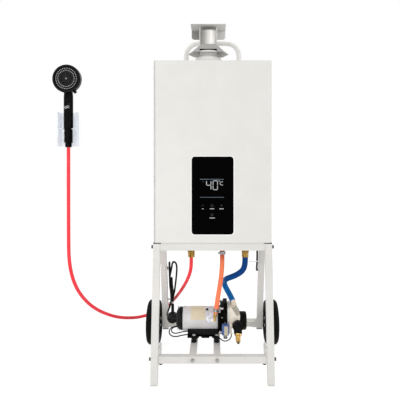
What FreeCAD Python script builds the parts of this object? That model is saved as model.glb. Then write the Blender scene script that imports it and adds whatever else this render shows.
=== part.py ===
import FreeCAD, Part
import Sketcher
import math
import os

# A gas water heater that stands on a two-wheeled trolley, with its pump, hoses and hand shower.
# X runs to the right, Y to the back and Z up. Sizes are in millimetres.
# The working origin is on the floor, midway between the legs, under the casing's front face.

SIZES = {
    # casing
    "casing_width": 350, "casing_depth": 150, "casing_height": 537, "casing_corner": 10, "sheet": 1.2,
    "vent_length": 62, "vent_height": 4, "vent_pitch": 13, "vent_count": 9, "vent_level": 36,
    # control panel in the casing's front
    "panel_width": 122, "panel_height": 229, "panel_corner": 8.5, "panel_level": 25, "panel_glass": 3,
    "panel_lip": 6, "panel_proud": 0.8,
    # works inside the casing
    "valve_drop": 70, "gas_block_width": 44, "gas_block_depth": 50, "gas_block_height": 38,
    "flow_radius": 19, "flow_height": 52, "shoe_depth": 16, "shoe_height": 12,
    # frame of square tube
    "tube_width": 20, "tube_wall": 1.5, "leg_height": 388, "front_splay": 66,
    "rear_slope": 0.29, "rear_inset": 2, "rear_leg_foot": 49, "foot_height": 4, "cap_height": 3,
    "front_tube_level": 57, "front_tube_setback": 4, "rear_tube_level": 59, "plug_depth": 12,
    "rail_left": -57, "rail_right": 13, "bolt_radius": 3, "bolt_head": 4.6, "bolt_proud": 6,
    "bolt_play": 0.1, "plate": 3, "gusset_width": 38, "gusset_height": 58, "gusset_tip": 8,
    "bracket_height": 21, "bracket_reach": 52, "bracket_drop": 5,
    # back frame and handle
    "upright_spacing": 173, "upright_drop": 70, "bar_width": 30, "bar_overhang": 23.5,
    "lower_bar_rise": 52, "upper_bar_drop": 228, "hanger_drop": 128, "hanger_height": 42,
    "handle_radius": 8, "handle_wall": 1.5, "handle_bend": 41, "handle_rise": 99, "handle_insert": 90,
    # wheels and axles
    "wheel_diameter": 150, "wheel_width": 44, "wheel_gap": 7, "tyre_depth": 22, "tyre_round": 13,
    "rim_wall": 6, "web_thickness": 8, "hub_radius": 17, "spoke_count": 5, "axle_radius": 6,
    "axle_play": 0.05, "axle_end_play": 0.3, "collar_radius": 8, "axle_head": 12, "head_thickness": 6,
    # flue
    "flue_offset": -13, "collar_base_radius": 42, "collar_base_height": 14, "collar_neck_radius": 27,
    "collar_height": 42, "flue_bore": 22.5, "hood_rise": 34, "hood_height": 27, "hood_half": 63,
    "hood_corner": 44, "hood_depth": 40, "hood_top_half": 30, "hood_top_corner": 21, "hood_top_depth": 26,
    "hood_leg": 10, "pipe_radius": 24, "pipe_wall": 1.2, "pipe_height": 44, "rain_rise": 117,
    "rain_width": 107, "rain_depth": 78, "rain_drop": 27, "rain_sheet": 1.5, "rain_round": 9,
    "strap_width": 12, "strap_thickness": 3.5, "strap_play": 0.3,
    # ports under the casing
    "hot_port": -66, "gas_port": 30, "cold_port": 101, "nut_across": 18, "nut_height": 21,
    "nipple_radius": 7.5, "port_drop": 56, "cord_port_inset": 12, "cord_port_back": 20, "gas_nut_height": 12,
    "gas_hose_drop": 18,
    # hoses and cords
    "shower_hose_radius": 5.5, "water_hose_radius": 9, "gas_hose_radius": 7, "cord_radius": 3,
    "lead_radius": 1.5, "clamp_width": 9, "clamp_wall": 1.2, "clamp_play": 0.15, "screw_radius": 2.6,
    "screw_length": 19, "tail_radius": 4, "tail_length": 25, "tie_width": 4.5, "tie_wall": 1.1,
    "tie_play": 0.3, "leg_tie_reach": 18.7, "leg_tie_level": 284, "hank_depth": 18,
    # pump
    "pump_depth": 100, "motor_level": 137, "motor_radius": 37.5, "motor_left": -93, "motor_length": 109,
    "end_cap_length": 20, "end_cap_radius": 35.5, "base_gap": 15, "base_half": 48, "base_height": 22,
    "base_overhang": 20, "base_plate": 5, "foot_radius": 8, "foot_spread": 80, "bell_radius": 40.5,
    "bell_length": 8, "step_length": 9, "step_half": 38, "flange_thickness": 12, "flange_half": 48,
    "flange_rise": 56, "flange_round": 26, "head_bolt": 5, "head_bolt_reach": 12,
    "housing_length": 40, "housing_half": 36, "housing_rise": 45, "housing_drop": 19,
    "housing_slope": 16, "housing_slope_drop": 25, "housing_bevel": 10, "seam_plate": 6, "dome_radius": 28.5,
    "dome_length": 21, "dome_round": 5, "dome_drop": 7, "switch_width": 21.5, "switch_height": 31,
    "switch_depth": 17, "switch_level": 106, "clip_width": 8, "clip_depth": 17, "clip_height": 34,
    "inlet_radius": 16, "inlet_length": 24, "inlet_drop": 8, "inlet_reach": 23, "brass_radius": 7.5,
    "brass_length": 22, "outlet_radius": 11, "spout_radius": 8, "spout_length": 10,
    # hand shower and its wall bracket
    "shower_left": -436.7, "shower_depth": 42, "shower_level": 674, "hose_nut_radius": 9.7,
    "hose_nut_height": 13, "grip_width": 28, "grip_length": 152, "shoulder_rise": 43,
    "head_radius": 42, "head_level": 204, "head_thickness": 30, "face_thickness": 8,
    "face_gap": 0.3, "lever_length": 9, "lever_width": 11, "lever_angle": -57, "rim_step": 5,
    "step_depth": 2, "nozzle_radius": 0.9, "nozzle_height": 1.2, "outer_nozzles": 30, "inner_nozzles": 20,
    "slider_width": 17, "slider_height": 11, "slider_travel": 8, "slider_play": 0.3, "slider_proud": 2,
    "slider_drop": 38, "holder_width": 58, "holder_height": 102, "holder_depth": 36, "holder_wall": 3,
    "holder_level": 3, "holder_gap": 0.3, "wall_screw": 2.2, "wall_screw_inset": 15,
}

DOC = FreeCAD.newDocument("TrolleyWaterHeater")
TABLE = DOC.addObject("Spreadsheet::Sheet", "Sizes")
for row, alias in enumerate(SIZES, 1):
    TABLE.set("A%d" % row, alias)
    TABLE.set("B%d" % row, str(SIZES[alias]))
    TABLE.setAlias("B%d" % row, alias)
DOC.recompute()


class Dim:
    """A size: its value now, and the formula on the sheet's cells that an object is bound to."""

    def __init__(self, value, text):
        self.value = float(value)
        self.text = text

    def joined(self, sign, other, value):
        return Dim(value, "(%s %s %s)" % (self.text, sign, other.text))

    def __add__(self, other):
        other = dim(other)
        return self.joined("+", other, self.value + other.value)

    def __sub__(self, other):
        other = dim(other)
        return self.joined("-", other, self.value - other.value)

    def __mul__(self, other):
        other = dim(other)
        return self.joined("*", other, self.value * other.value)

    def __truediv__(self, other):
        other = dim(other)
        return self.joined("/", other, self.value / other.value)

    def __radd__(self, other):
        return dim(other) + self

    def __rsub__(self, other):
        return dim(other) - self

    def __rmul__(self, other):
        return dim(other) * self

    def __rtruediv__(self, other):
        return dim(other) / self

    def __neg__(self):
        return 0 - self


def dim(amount):
    """Any number as a Dim."""
    if isinstance(amount, Dim):
        return amount
    return Dim(amount, "(%r)" % float(amount))


def root(amount):
    return Dim(math.sqrt(amount.value), "sqrt(%s)" % amount.text)


class Cells:
    """The sheet's cells by name."""

    def __getattr__(self, alias):
        return Dim(TABLE.get(alias), "Sizes." + alias)


S = Cells()
FAR = 400
PLACES = {}
NODES = []


# ---------------------------------------------------------------- shared ways of making a piece


def bind(thing, name, amount):
    """Tie one property of an object to its formula."""
    if "Sizes." in dim(amount).text:
        thing.setExpression(name, dim(amount).text)
        return
    if name.startswith("Placement.Base."):
        setattr(thing.Placement.Base, name[-1], dim(amount).value)
    elif "." not in name and "[" not in name:
        setattr(thing, name, dim(amount).value)


def seat(thing, x=0, y=0, z=0):
    """Put an object at a place in the working frame."""
    PLACES[thing.Name] = (dim(x), dim(y), dim(z))
    thing.Placement.Base = FreeCAD.Vector(dim(x).value, dim(y).value, dim(z).value)
    for axis, amount in zip("xyz", PLACES[thing.Name]):
        bind(thing, "Placement.Base." + axis, amount)
    return thing


def turn(thing, axis, angle):
    thing.Placement.Rotation = FreeCAD.Rotation(FreeCAD.Vector(*axis), angle)
    return thing


def new_body(name):
    return DOC.addObject("PartDesign::Body", name)


def sketch(body, plane, level=0):
    """An empty sketch on one of the body's own planes, moved along the plane's normal by level."""
    drawing = body.newObject("Sketcher::SketchObject", body.Name + "_outline")
    support = [plane_or_axis for plane_or_axis in body.Origin.OriginFeatures
               if plane_or_axis.Role == plane + "_Plane"][0]
    drawing.AttachmentSupport = [(support, "")]
    drawing.MapMode = "FlatFace"
    offset = FreeCAD.Vector(0, 0, dim(level).value)
    drawing.AttachmentOffset = FreeCAD.Placement(offset, FreeCAD.Rotation())
    bind(drawing, "AttachmentOffset.Base.z", level)
    return drawing


def fix_point(drawing, edge, end, x, y):
    """Measure one point of the sketch from its origin."""
    for kind, amount in (("DistanceX", dim(x)), ("DistanceY", dim(y))):
        number = drawing.addConstraint(Sketcher.Constraint(kind, -1, 1, edge, end, amount.value))
        bind(drawing, "Constraints[%d]" % number, amount)


def loop(drawing, corners):
    """A closed outline of straight edges."""
    points = [FreeCAD.Vector(dim(x).value, dim(y).value, 0) for x, y in corners]
    first = len(drawing.Geometry)
    count = len(points)
    for index in range(count):
        line = Part.LineSegment(points[index], points[(index + 1) % count])
        drawing.addGeometry(line, False)
    for index in range(count):
        follower = first + (index + 1) % count
        drawing.addConstraint(Sketcher.Constraint("Coincident", first + index, 2, follower, 1))
    for index, (x, y) in enumerate(corners):
        fix_point(drawing, first + index, 1, x, y)
    return drawing


def ring(drawing, x, y, radius):
    """A circle."""
    centre = FreeCAD.Vector(dim(x).value, dim(y).value, 0)
    edge = len(drawing.Geometry)
    drawing.addGeometry(Part.Circle(centre, FreeCAD.Vector(0, 0, 1), dim(radius).value), False)
    fix_point(drawing, edge, 3, x, y)
    number = drawing.addConstraint(Sketcher.Constraint("Radius", edge, dim(radius).value))
    bind(drawing, "Constraints[%d]" % number, radius)
    return drawing


def square(x0, y0, x1, y1):
    """The corners of a rectangle."""
    return [(x0, y0), (x1, y0), (x1, y1), (x0, y1)]


def pad(body, drawing, length, both_ways=False, reverse=False):
    feature = body.newObject("PartDesign::Pad", body.Name + "_pad")
    feature.Profile = drawing
    feature.SideType = "Symmetric" if both_ways else "One side"
    feature.Reversed = reverse
    bind(feature, "Length", length)
    return feature


def pocket(body, drawing, length, both_ways=True, reverse=False):
    """A cut, which has to take something away."""
    DOC.recompute()
    before = body.Shape.Volume
    feature = body.newObject("PartDesign::Pocket", body.Name + "_pocket")
    feature.Profile = drawing
    feature.SideType = "Symmetric" if both_ways else "One side"
    feature.Reversed = reverse
    bind(feature, "Length", length)
    DOC.recompute()
    if not body.Shape.Volume < before:
        raise ValueError(body.Name + " has a pocket that cuts nothing")
    return feature


def revolve(body, drawing, axis):
    feature = body.newObject("PartDesign::Revolution", body.Name + "_turned")
    feature.Profile = drawing
    feature.ReferenceAxis = (drawing, [axis])
    feature.Angle = 360
    return feature


def loft(body, first, second, kind="Additive"):
    feature = body.newObject("PartDesign::%sLoft" % kind, body.Name + "_loft")
    feature.Profile = first
    feature.Sections = [second]
    feature.Ruled = True
    return feature


def sweep(body, section, line):
    """A section carried along a line that is sketched in the same body."""
    feature = body.newObject("PartDesign::AdditivePipe", body.Name + "_sweep")
    feature.Profile = section
    feature.Spine = (line, [""])
    return feature


def soften(body, radius, wanted, kind="Fillet"):
    """Round, or with kind Chamfer bevel, the edges that wanted picks."""
    DOC.recompute()
    base = body.Tip
    edges = ["Edge%d" % number for number, edge in enumerate(base.Shape.Edges, 1) if wanted(edge)]
    if not edges:
        raise ValueError(body.Name + " has no such edge to soften")
    feature = body.newObject("PartDesign::" + kind, body.Name + "_" + kind.lower())
    feature.Base = (base, edges)
    bind(feature, "Radius" if kind == "Fillet" else "Size", radius)
    return feature


def repeat(body, feature, axis, pitch, count):
    """A feature repeated along an axis of the body at a pitch."""
    pattern = body.newObject("PartDesign::LinearPattern", body.Name + "_row")
    pattern.Originals = [feature]
    line = [item for item in body.Origin.OriginFeatures if item.Role == axis + "_Axis"][0]
    pattern.Direction = (line, [""])
    bind(pattern, "Length", pitch * (count - 1))
    pattern.setExpression("Occurrences", count.text)
    body.Tip = pattern
    return pattern


def repeat_round(body, feature, axis, count):
    """A feature repeated round an axis of the body."""
    pattern = body.newObject("PartDesign::PolarPattern", body.Name + "_round")
    pattern.Originals = [feature]
    line = [item for item in body.Origin.OriginFeatures if item.Role == axis + "_Axis"][0]
    pattern.Axis = (line, [""])
    pattern.Angle = 360
    pattern.setExpression("Occurrences", count.text)
    body.Tip = pattern
    return pattern


def block(name, x0, y0, z0, width, depth, height):
    solid = DOC.addObject("Part::Box", name)
    bind(solid, "Length", width)
    bind(solid, "Width", depth)
    bind(solid, "Height", height)
    return seat(solid, x0, y0, z0)


def rod(name, x, y, z, radius, length, axis="Z"):
    """A cylinder from a point along +X, +Y or +Z."""
    solid = DOC.addObject("Part::Cylinder", name)
    bind(solid, "Radius", radius)
    bind(solid, "Height", length)
    if axis == "X":
        turn(solid, (0, 1, 0), 90)
    if axis == "Y":
        turn(solid, (1, 0, 0), -90)
    return seat(solid, x, y, z)


def hexagon(name, x, y, z, across, length, axis="Z"):
    """A hexagonal bar, such as a nut or a bolt's head, by its size across flats."""
    solid = DOC.addObject("Part::Prism", name)
    solid.Polygon = 6
    bind(solid, "Circumradius", across / root(dim(3)))
    bind(solid, "Height", length)
    if axis == "X":
        turn(solid, (0, 1, 0), 90)
    if axis == "Y":
        turn(solid, (1, 0, 0), -90)
    return seat(solid, x, y, z)


def fused(name, pieces):
    whole = DOC.addObject("Part::MultiFuse", name)
    whole.Shapes = pieces
    whole.Refine = True
    return whole


def less(name, base, tool):
    rest = DOC.addObject("Part::Cut", name)
    rest.Base = base
    rest.Tool = tool
    return rest


def group(name, pieces):
    whole = DOC.addObject("Part::Compound", name)
    whole.Links = pieces
    return whole


def mirrored(piece):
    """The same piece on the other side of the trolley."""
    twin = DOC.addObject("Part::Mirroring", piece.Name + "_twin")
    twin.Source = piece
    twin.Normal = FreeCAD.Vector(1, 0, 0)
    return twin


def node(label, piece):
    """Name a finished sub-part and move it from the working frame to the row's frame."""
    piece.Label = label
    x, y, z = PLACES.get(piece.Name, (dim(0), dim(0), dim(0)))
    seat(piece, x + DATUM_X, y + DATUM_Y, z)
    NODES.append(piece)
    return piece


def pair(label, piece):
    return node(label, group(label, [piece, mirrored(piece)]))


def along(edge, axis):
    """True for a straight edge parallel to an axis."""
    if edge.Curve.TypeId != "Part::GeomLine":
        return False
    return abs(abs(edge.tangentAt(edge.FirstParameter).dot(FreeCAD.Vector(*axis))) - 1) < 1e-6


def middle(edge):
    return edge.CenterOfMass


# ---------------------------------------------------------------- places that several pieces share

CASING_FLOOR = S.leg_height + S.cap_height
CASING_TOP = CASING_FLOOR + S.casing_height
BACK_FACE = S.casing_depth + S.plate
FRONT_SLOPE = S.front_splay / S.leg_height
FRONT_RUN = root(1 + FRONT_SLOPE * FRONT_SLOPE)
REAR_RUN = root(1 + S.rear_slope * S.rear_slope)
FRAME_HALF = S.casing_width / 2
LEG_CENTRE = FRAME_HALF - S.tube_width / 2
LEG_INNER = FRAME_HALF - S.tube_width
REAR_OUTER = FRAME_HALF - S.rear_inset
REAR_CENTRE = REAR_OUTER - S.tube_width / 2
REAR_INNER = REAR_OUTER - S.tube_width
AXLE_LEVEL = S.wheel_diameter / 2
PORT_DEPTH = S.casing_depth / 2
CORD_PORT = LEG_INNER - S.cord_port_inset
CORD_PORT_DEPTH = S.casing_depth - S.cord_port_back


def front_line(z):
    """Y of the front legs' front face at a height."""
    return (z - S.leg_height) * FRONT_SLOPE


def rear_line(z):
    """Y of the rear legs' front face at a height."""
    return BACK_FACE + (S.leg_height - z) * S.rear_slope


AXLE_DEPTH = rear_line(AXLE_LEVEL) + S.tube_width * REAR_RUN / 2
WHEEL_INNER = REAR_OUTER + S.wheel_gap
WHEEL_OUTER = WHEEL_INNER + S.wheel_width
FRONT_TUBE_MIDDLE = S.front_tube_level + S.tube_width / 2
FRONT_TUBE_FACE = front_line(FRONT_TUBE_MIDDLE) + S.front_tube_setback
FRONT_TUBE_TOP = S.front_tube_level + S.tube_width
DATUM_X = (S.head_radius - S.shower_left - WHEEL_OUTER) / 2
DATUM_Y = (S.front_splay - AXLE_DEPTH - S.wheel_diameter / 2) / 2
HEAD_Z = S.shower_level + S.head_level
UPRIGHT_TOP = CASING_TOP - S.upright_drop
HANDLE_LOW = UPRIGHT_TOP - S.handle_insert
HANDLE_BOLT_Z = UPRIGHT_TOP - S.handle_insert / 2
BAR_HALF = S.upright_spacing / 2 + S.bar_overhang
PUMP_FLOOR = FRONT_TUBE_TOP + S.base_gap
MOTOR_RIGHT = S.motor_left + S.motor_length
FLANGE_FACE = MOTOR_RIGHT + S.bell_length + S.step_length
HOUSING_START = FLANGE_FACE + S.flange_thickness
HOUSING_TOP = S.motor_level + S.housing_rise


# ---------------------------------------------------------------- frame


def leaning(body, line, run, centre, low, high, inset=0):
    """A length of leaning leg as a side outline: its front face follows line, inset by a wall."""
    drawing = sketch(body, "YZ", centre)
    front_low = line(low) + inset * run
    front_high = line(high) + inset * run
    back_low = line(low) + (S.tube_width - inset) * run
    back_high = line(high) + (S.tube_width - inset) * run
    return loop(drawing, [(front_low, low), (back_low, low), (back_high, high), (front_high, high)])


def leg(name, line, run, centre, low, holes):
    """A leaning leg of square tube with round holes through its sides."""
    body = new_body(name)
    pad(body, leaning(body, line, run, centre, low, S.leg_height), S.tube_width, True)
    inner = leaning(body, line, run, centre, low - FAR, S.leg_height + FAR, S.tube_wall)
    pocket(body, inner, S.tube_width - 2 * S.tube_wall)
    drawing = sketch(body, "YZ", centre)
    for y, z, radius in holes:
        ring(drawing, y, z, radius)
    pocket(body, drawing, S.tube_width * 2)
    return body


BOLT_HOLE = S.bolt_radius + S.bolt_play
TOP_BOLT_Z = S.leg_height - S.tube_width / 2
TOP_BOLT_Y = front_line(TOP_BOLT_Z) + S.tube_width * FRONT_RUN / 2 + 1
LOW_BOLT_Y = FRONT_TUBE_FACE + S.tube_width / 2 - 2


def cross_tube(name, half, corners, inner):
    """A square tube across the trolley, from its section."""
    body = new_body(name)
    drawing = loop(sketch(body, "YZ"), corners)
    pad(body, loop(drawing, inner), half * 2, True)
    return body


def upright_section(y, z):
    wall = S.tube_wall
    width = S.tube_width
    return square(y, z, y + width, z + width), square(y + wall, z + wall, y + width - wall, z + width - wall)


def side_tube():
    """The top tube from a front leg to the rear leg behind it, its ends cut to both slopes."""
    body = new_body("top_side_tube")
    low = S.leg_height - S.tube_width
    for inset, reach in ((dim(0), dim(0)), (S.tube_wall, dim(FAR))):
        bottom = low + inset
        top = S.leg_height - inset
        drawing = sketch(body, "YZ", LEG_CENTRE)
        corners = [(front_line(bottom) + S.tube_width * FRONT_RUN - reach, bottom),
                   (rear_line(bottom) + reach, bottom),
                   (rear_line(top) + reach, top),
                   (front_line(top) + S.tube_width * FRONT_RUN - reach, top)]
        loop(drawing, corners)
        if reach.value == 0:
            pad(body, drawing, S.tube_width, True)
        else:
            pocket(body, drawing, S.tube_width - 2 * S.tube_wall)
    return body


def tilted_section(inset):
    """The lower rear tube's section, turned to lie flush with the leaning rear legs."""
    along_y = -S.rear_slope / REAR_RUN
    along_z = 1 / REAR_RUN
    start_y = rear_line(S.rear_tube_level)
    start_z = S.rear_tube_level
    corners = []
    for up, back in ((inset, inset), (S.tube_width - inset, inset),
                     (S.tube_width - inset, S.tube_width - inset), (inset, S.tube_width - inset)):
        corners.append((start_y + along_y * up + along_z * back, start_z + along_z * up - along_y * back))
    return corners


def pump_rail(name, centre):
    """A rail from the lower front tube to the lower rear tube's leaning face."""
    body = new_body(name)
    start = FRONT_TUBE_FACE + S.tube_width
    for inset, reach in ((dim(0), dim(0)), (S.tube_wall, dim(FAR))):
        low = S.front_tube_level + inset
        high = FRONT_TUBE_TOP - inset
        drawing = sketch(body, "YZ", centre)
        loop(drawing, [(start - reach, low), (rear_line(low) + reach, low),
                       (rear_line(high) + reach, high), (start - reach, high)])
        if reach.value == 0:
            pad(body, drawing, S.tube_width, True)
        else:
            pocket(body, drawing, S.tube_width - 2 * S.tube_wall)
    return body


def corner_gusset():
    """A blunt triangular plate welded on the corner of rear leg and lower rear tube."""
    body = new_body("corner_gusset")
    inner = REAR_OUTER - S.gusset_width
    drawing = loop(sketch(body, "XZ"), [
        (REAR_OUTER, 0), (REAR_OUTER, S.gusset_height), (REAR_OUTER - S.gusset_tip, S.gusset_height),
        (inner, S.gusset_tip), (inner, 0)])
    pad(body, drawing, S.plate)
    turn(body, (1, 0, 0), math.degrees(math.atan(S.rear_slope.value)))
    return seat(body, 0, rear_line(S.rear_tube_level), S.rear_tube_level)


def leg_bracket():
    """The side plate that ties a front leg to the lower front tube's back."""
    body = new_body("leg_bracket")
    back = FRONT_TUBE_FACE + S.tube_width
    high = FRONT_TUBE_TOP + S.bracket_height
    low = S.front_tube_level - S.bracket_drop
    front = front_line(high) + S.tube_wall
    drawing = loop(sketch(body, "YZ", LEG_INNER), [
        (front, FRONT_TUBE_TOP), (back, FRONT_TUBE_TOP), (back, low),
        (back + S.bracket_reach / 2, low), (back + S.bracket_reach, FRONT_TUBE_MIDDLE),
        (back + S.bracket_reach, FRONT_TUBE_TOP + S.bracket_height / 2),
        (back + S.bracket_reach * 2 / 3, high), (front, high)])
    pad(body, drawing, S.plate, reverse=True)
    return body


def end_cap(name, line, run, centre, low, high, plug_low, plug_high):
    """A plastic cap that covers a tube's end, with a plug inside the tube."""
    body = new_body(name)
    pad(body, leaning(body, line, run, centre, low, high), S.tube_width, True)
    inset = S.tube_wall + S.bolt_play
    plug = leaning(body, line, run, centre, plug_low, plug_high, inset)
    pad(body, plug, S.tube_width - 2 * inset, True)
    return body


def frame():
    front_holes = [(TOP_BOLT_Y, TOP_BOLT_Z, BOLT_HOLE), (LOW_BOLT_Y, FRONT_TUBE_MIDDLE, BOLT_HOLE)]
    front_leg = leg("front_leg", front_line, FRONT_RUN, LEG_CENTRE, S.foot_height, front_holes)
    pair("front_legs", front_leg)
    axle_hole = S.axle_radius + S.bolt_play
    rear_leg = leg("rear_leg", rear_line, REAR_RUN, REAR_CENTRE, S.rear_leg_foot + S.cap_height,
                   [(AXLE_DEPTH, AXLE_LEVEL, axle_hole)])
    pair("rear_legs", rear_leg)

    low = S.leg_height - S.tube_width
    top_front = cross_tube("top_front_tube", LEG_INNER, *upright_section(dim(0), low))
    top_rear = cross_tube("top_rear_tube", REAR_INNER, *upright_section(BACK_FACE, low))
    side = side_tube()
    node("top_frame", group("top_frame", [top_front, top_rear, side, mirrored(side)]))

    front = cross_tube("lower_front_tube", LEG_INNER, *upright_section(FRONT_TUBE_FACE, S.front_tube_level))
    holes = sketch(front, "XZ", -FRONT_TUBE_FACE - S.tube_width / 2)
    for rail in (S.rail_left, S.rail_right):
        ring(holes, rail, FRONT_TUBE_MIDDLE, BOLT_HOLE)
    pocket(front, holes, S.tube_width * 2)
    rear = cross_tube("lower_rear_tube", REAR_INNER, tilted_section(dim(0)), tilted_section(S.tube_wall))
    node("lower_cross_tubes", group("lower_cross_tubes", [front, rear]))
    node("pump_rails", group("pump_rails", [pump_rail("rail_a", S.rail_left), pump_rail("rail_b", S.rail_right)]))
    pair("corner_gussets", corner_gusset())
    pair("leg_brackets", leg_bracket())

    caps = []
    for name, line, run, centre in (("front_cap", front_line, FRONT_RUN, LEG_CENTRE),
                                    ("rear_cap", rear_line, REAR_RUN, REAR_CENTRE)):
        cap = end_cap(name, line, run, centre, S.leg_height, CASING_FLOOR,
                      S.leg_height - S.plug_depth / 3, S.leg_height)
        caps += [cap, mirrored(cap)]
    foot = end_cap("rear_foot_cap", rear_line, REAR_RUN, REAR_CENTRE, S.rear_leg_foot,
                   S.rear_leg_foot + S.cap_height, S.rear_leg_foot + S.cap_height,
                   S.rear_leg_foot + S.cap_height + S.plug_depth)
    node("leg_end_caps", group("leg_end_caps", caps + [foot, mirrored(foot)]))
    pair("front_feet", end_cap("front_foot", front_line, FRONT_RUN, LEG_CENTRE, dim(0), S.foot_height,
                               S.foot_height, S.foot_height + S.plug_depth))


def bolt_x(name, head_face, y, z, length):
    """A bolt with its hexagonal head's underside at head_face, its shank running inwards along -X."""
    shank = rod(name + "_shank", head_face - length, y, z, S.bolt_radius, length, "X")
    head = hexagon(name + "_head", head_face, y, z, S.bolt_head * 2, S.bolt_proud, "X")
    return fused(name, [shank, head])


def frame_bolts():
    half = FRAME_HALF
    pieces = []
    for name, y, z in (("top_bolt", TOP_BOLT_Y, TOP_BOLT_Z), ("low_bolt", LOW_BOLT_Y, FRONT_TUBE_MIDDLE)):
        bolt = bolt_x(name, half, y, z, S.tube_width + 8)
        pieces += [bolt, mirrored(bolt)]
    for name, rail in (("rail_bolt_a", S.rail_left), ("rail_bolt_b", S.rail_right)):
        shank = rod(name + "_shank", rail, FRONT_TUBE_FACE, FRONT_TUBE_MIDDLE, S.bolt_radius, S.tube_width + 8, "Y")
        head = hexagon(name + "_head", rail, FRONT_TUBE_FACE - S.bolt_proud, FRONT_TUBE_MIDDLE,
                       S.bolt_head * 2, S.bolt_proud, "Y")
        pieces.append(fused(name, [shank, head]))
    under = hexagon("bracket_bolt", LEG_INNER - S.bolt_head * 1.5, FRONT_TUBE_FACE + S.tube_width / 2,
                    S.front_tube_level - S.bolt_proud, S.bolt_head * 2, S.bolt_proud)
    pieces += [under, mirrored(under)]
    for side in (-1, 1):
        x = S.upright_spacing / 2 * side
        back = BACK_FACE + S.tube_width
        shank = rod("handle_bolt_shank", x, BACK_FACE, HANDLE_BOLT_Z, S.bolt_radius, S.tube_width, "Y")
        head = hexagon("handle_bolt_head", x, back, HANDLE_BOLT_Z, S.bolt_head * 2, S.bolt_proud, "Y")
        pieces.append(fused("handle_bolt", [shank, head]))
    node("frame_bolts", group("frame_bolts", pieces))


def back_frame():
    """Two uprights behind the casing with two flat bars across their fronts."""
    body = new_body("upright")
    x = S.upright_spacing / 2
    half = S.tube_width / 2
    wall = S.tube_wall
    back = BACK_FACE + S.tube_width
    drawing = loop(sketch(body, "XY", S.leg_height), square(x - half, BACK_FACE, x + half, back))
    loop(drawing, square(x - half + wall, BACK_FACE + wall, x + half - wall, back - wall))
    pad(body, drawing, UPRIGHT_TOP - S.leg_height)
    hole = sketch(body, "XZ", -BACK_FACE - half)
    ring(hole, x, HANDLE_BOLT_Z, BOLT_HOLE)
    pocket(body, hole, S.tube_width * 2)
    bars = []
    for name, level in (("lower_bar", S.leg_height + S.lower_bar_rise), ("upper_bar", CASING_TOP - S.upper_bar_drop)):
        bars.append(block(name, -BAR_HALF, S.casing_depth, level, BAR_HALF * 2, S.plate, S.bar_width))
    node("back_frame", group("back_frame", [body, mirrored(body)] + bars))


def bent_line(body, y):
    """The handle's middle line: a leg up, a quarter bend, the grip across, a bend and a leg down."""
    drawing = sketch(body, "XZ", -y)
    half = S.upright_spacing / 2
    grip_z = CASING_TOP + S.handle_rise - S.handle_radius
    bend_z = grip_z - S.handle_bend
    inner = half - S.handle_bend
    runs = [((half, HANDLE_LOW), (half, bend_z)), ((inner, grip_z), (-inner, grip_z)),
            ((-half, bend_z), (-half, HANDLE_LOW))]
    for start, end in runs:
        ends = [FreeCAD.Vector(dim(x).value, dim(z).value, 0) for x, z in (start, end)]
        edge = len(drawing.Geometry)
        drawing.addGeometry(Part.LineSegment(*ends), False)
        fix_point(drawing, edge, 1, *start)
        fix_point(drawing, edge, 2, *end)
    for side, before, after in ((1, 0, 1), (-1, 1, 2)):
        centre = FreeCAD.Vector((inner * side).value, bend_z.value, 0)
        circle = Part.Circle(centre, FreeCAD.Vector(0, 0, 1), S.handle_bend.value)
        start_angle = 0 if side > 0 else math.pi / 2
        edge = len(drawing.Geometry)
        drawing.addGeometry(Part.ArcOfCircle(circle, start_angle, start_angle + math.pi / 2), False)
        drawing.addConstraint(Sketcher.Constraint("Tangent", before, 2, edge, 1))
        drawing.addConstraint(Sketcher.Constraint("Coincident", edge, 2, after, 1))
    return drawing


def handle():
    """One round tube bent to an upside-down U, with a bolt hole through each leg."""
    body = new_body("handle_tube")
    y = BACK_FACE + S.tube_width / 2
    half = S.upright_spacing / 2
    section = ring(sketch(body, "XY", HANDLE_LOW), half, y, S.handle_radius)
    ring(section, half, y, S.handle_radius - S.handle_wall)
    sweep(body, section, bent_line(body, y))
    holes = sketch(body, "XZ", -y)
    for side in (-1, 1):
        ring(holes, half * side, HANDLE_BOLT_Z, BOLT_HOLE)
    pocket(body, holes, S.tube_width)
    node("handle", body)


# ---------------------------------------------------------------- wheels


def turned_x(name, corners):
    """A piece turned about the axle line, from a half section of (distance outwards, radius)."""
    body = new_body(name)
    revolve(body, loop(sketch(body, "XY"), corners), "H_Axis")
    return body


def on_axle(body, x):
    return seat(body, x, AXLE_DEPTH, AXLE_LEVEL)


def round_edge_at(radius):
    """Picks the circular edges of a given radius."""
    def wanted(edge):
        return edge.Curve.TypeId == "Part::GeomCircle" and abs(edge.Curve.Radius - radius.value) < 1e-3
    return wanted


def stub_axle():
    """A shouldered axle bolt: shank in the leg, collar against it, journal in the hub, flat head."""
    inner = REAR_INNER
    leg_face = REAR_OUTER
    collar_end = WHEEL_INNER - S.axle_end_play
    head_start = WHEEL_OUTER - S.head_thickness
    body = turned_x("stub_axle", [
        (inner, 0), (inner, S.axle_radius), (leg_face, S.axle_radius), (leg_face, S.collar_radius),
        (collar_end, S.collar_radius), (collar_end, S.axle_radius), (head_start, S.axle_radius),
        (head_start, S.axle_head), (WHEEL_OUTER, S.axle_head), (WHEEL_OUTER, 0)])
    soften(body, S.head_thickness / 3, lambda edge: round_edge_at(S.axle_head)(edge)
           and middle(edge).x > (head_start.value + WHEEL_OUTER.value) / 2)
    return on_axle(body, 0)


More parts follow.
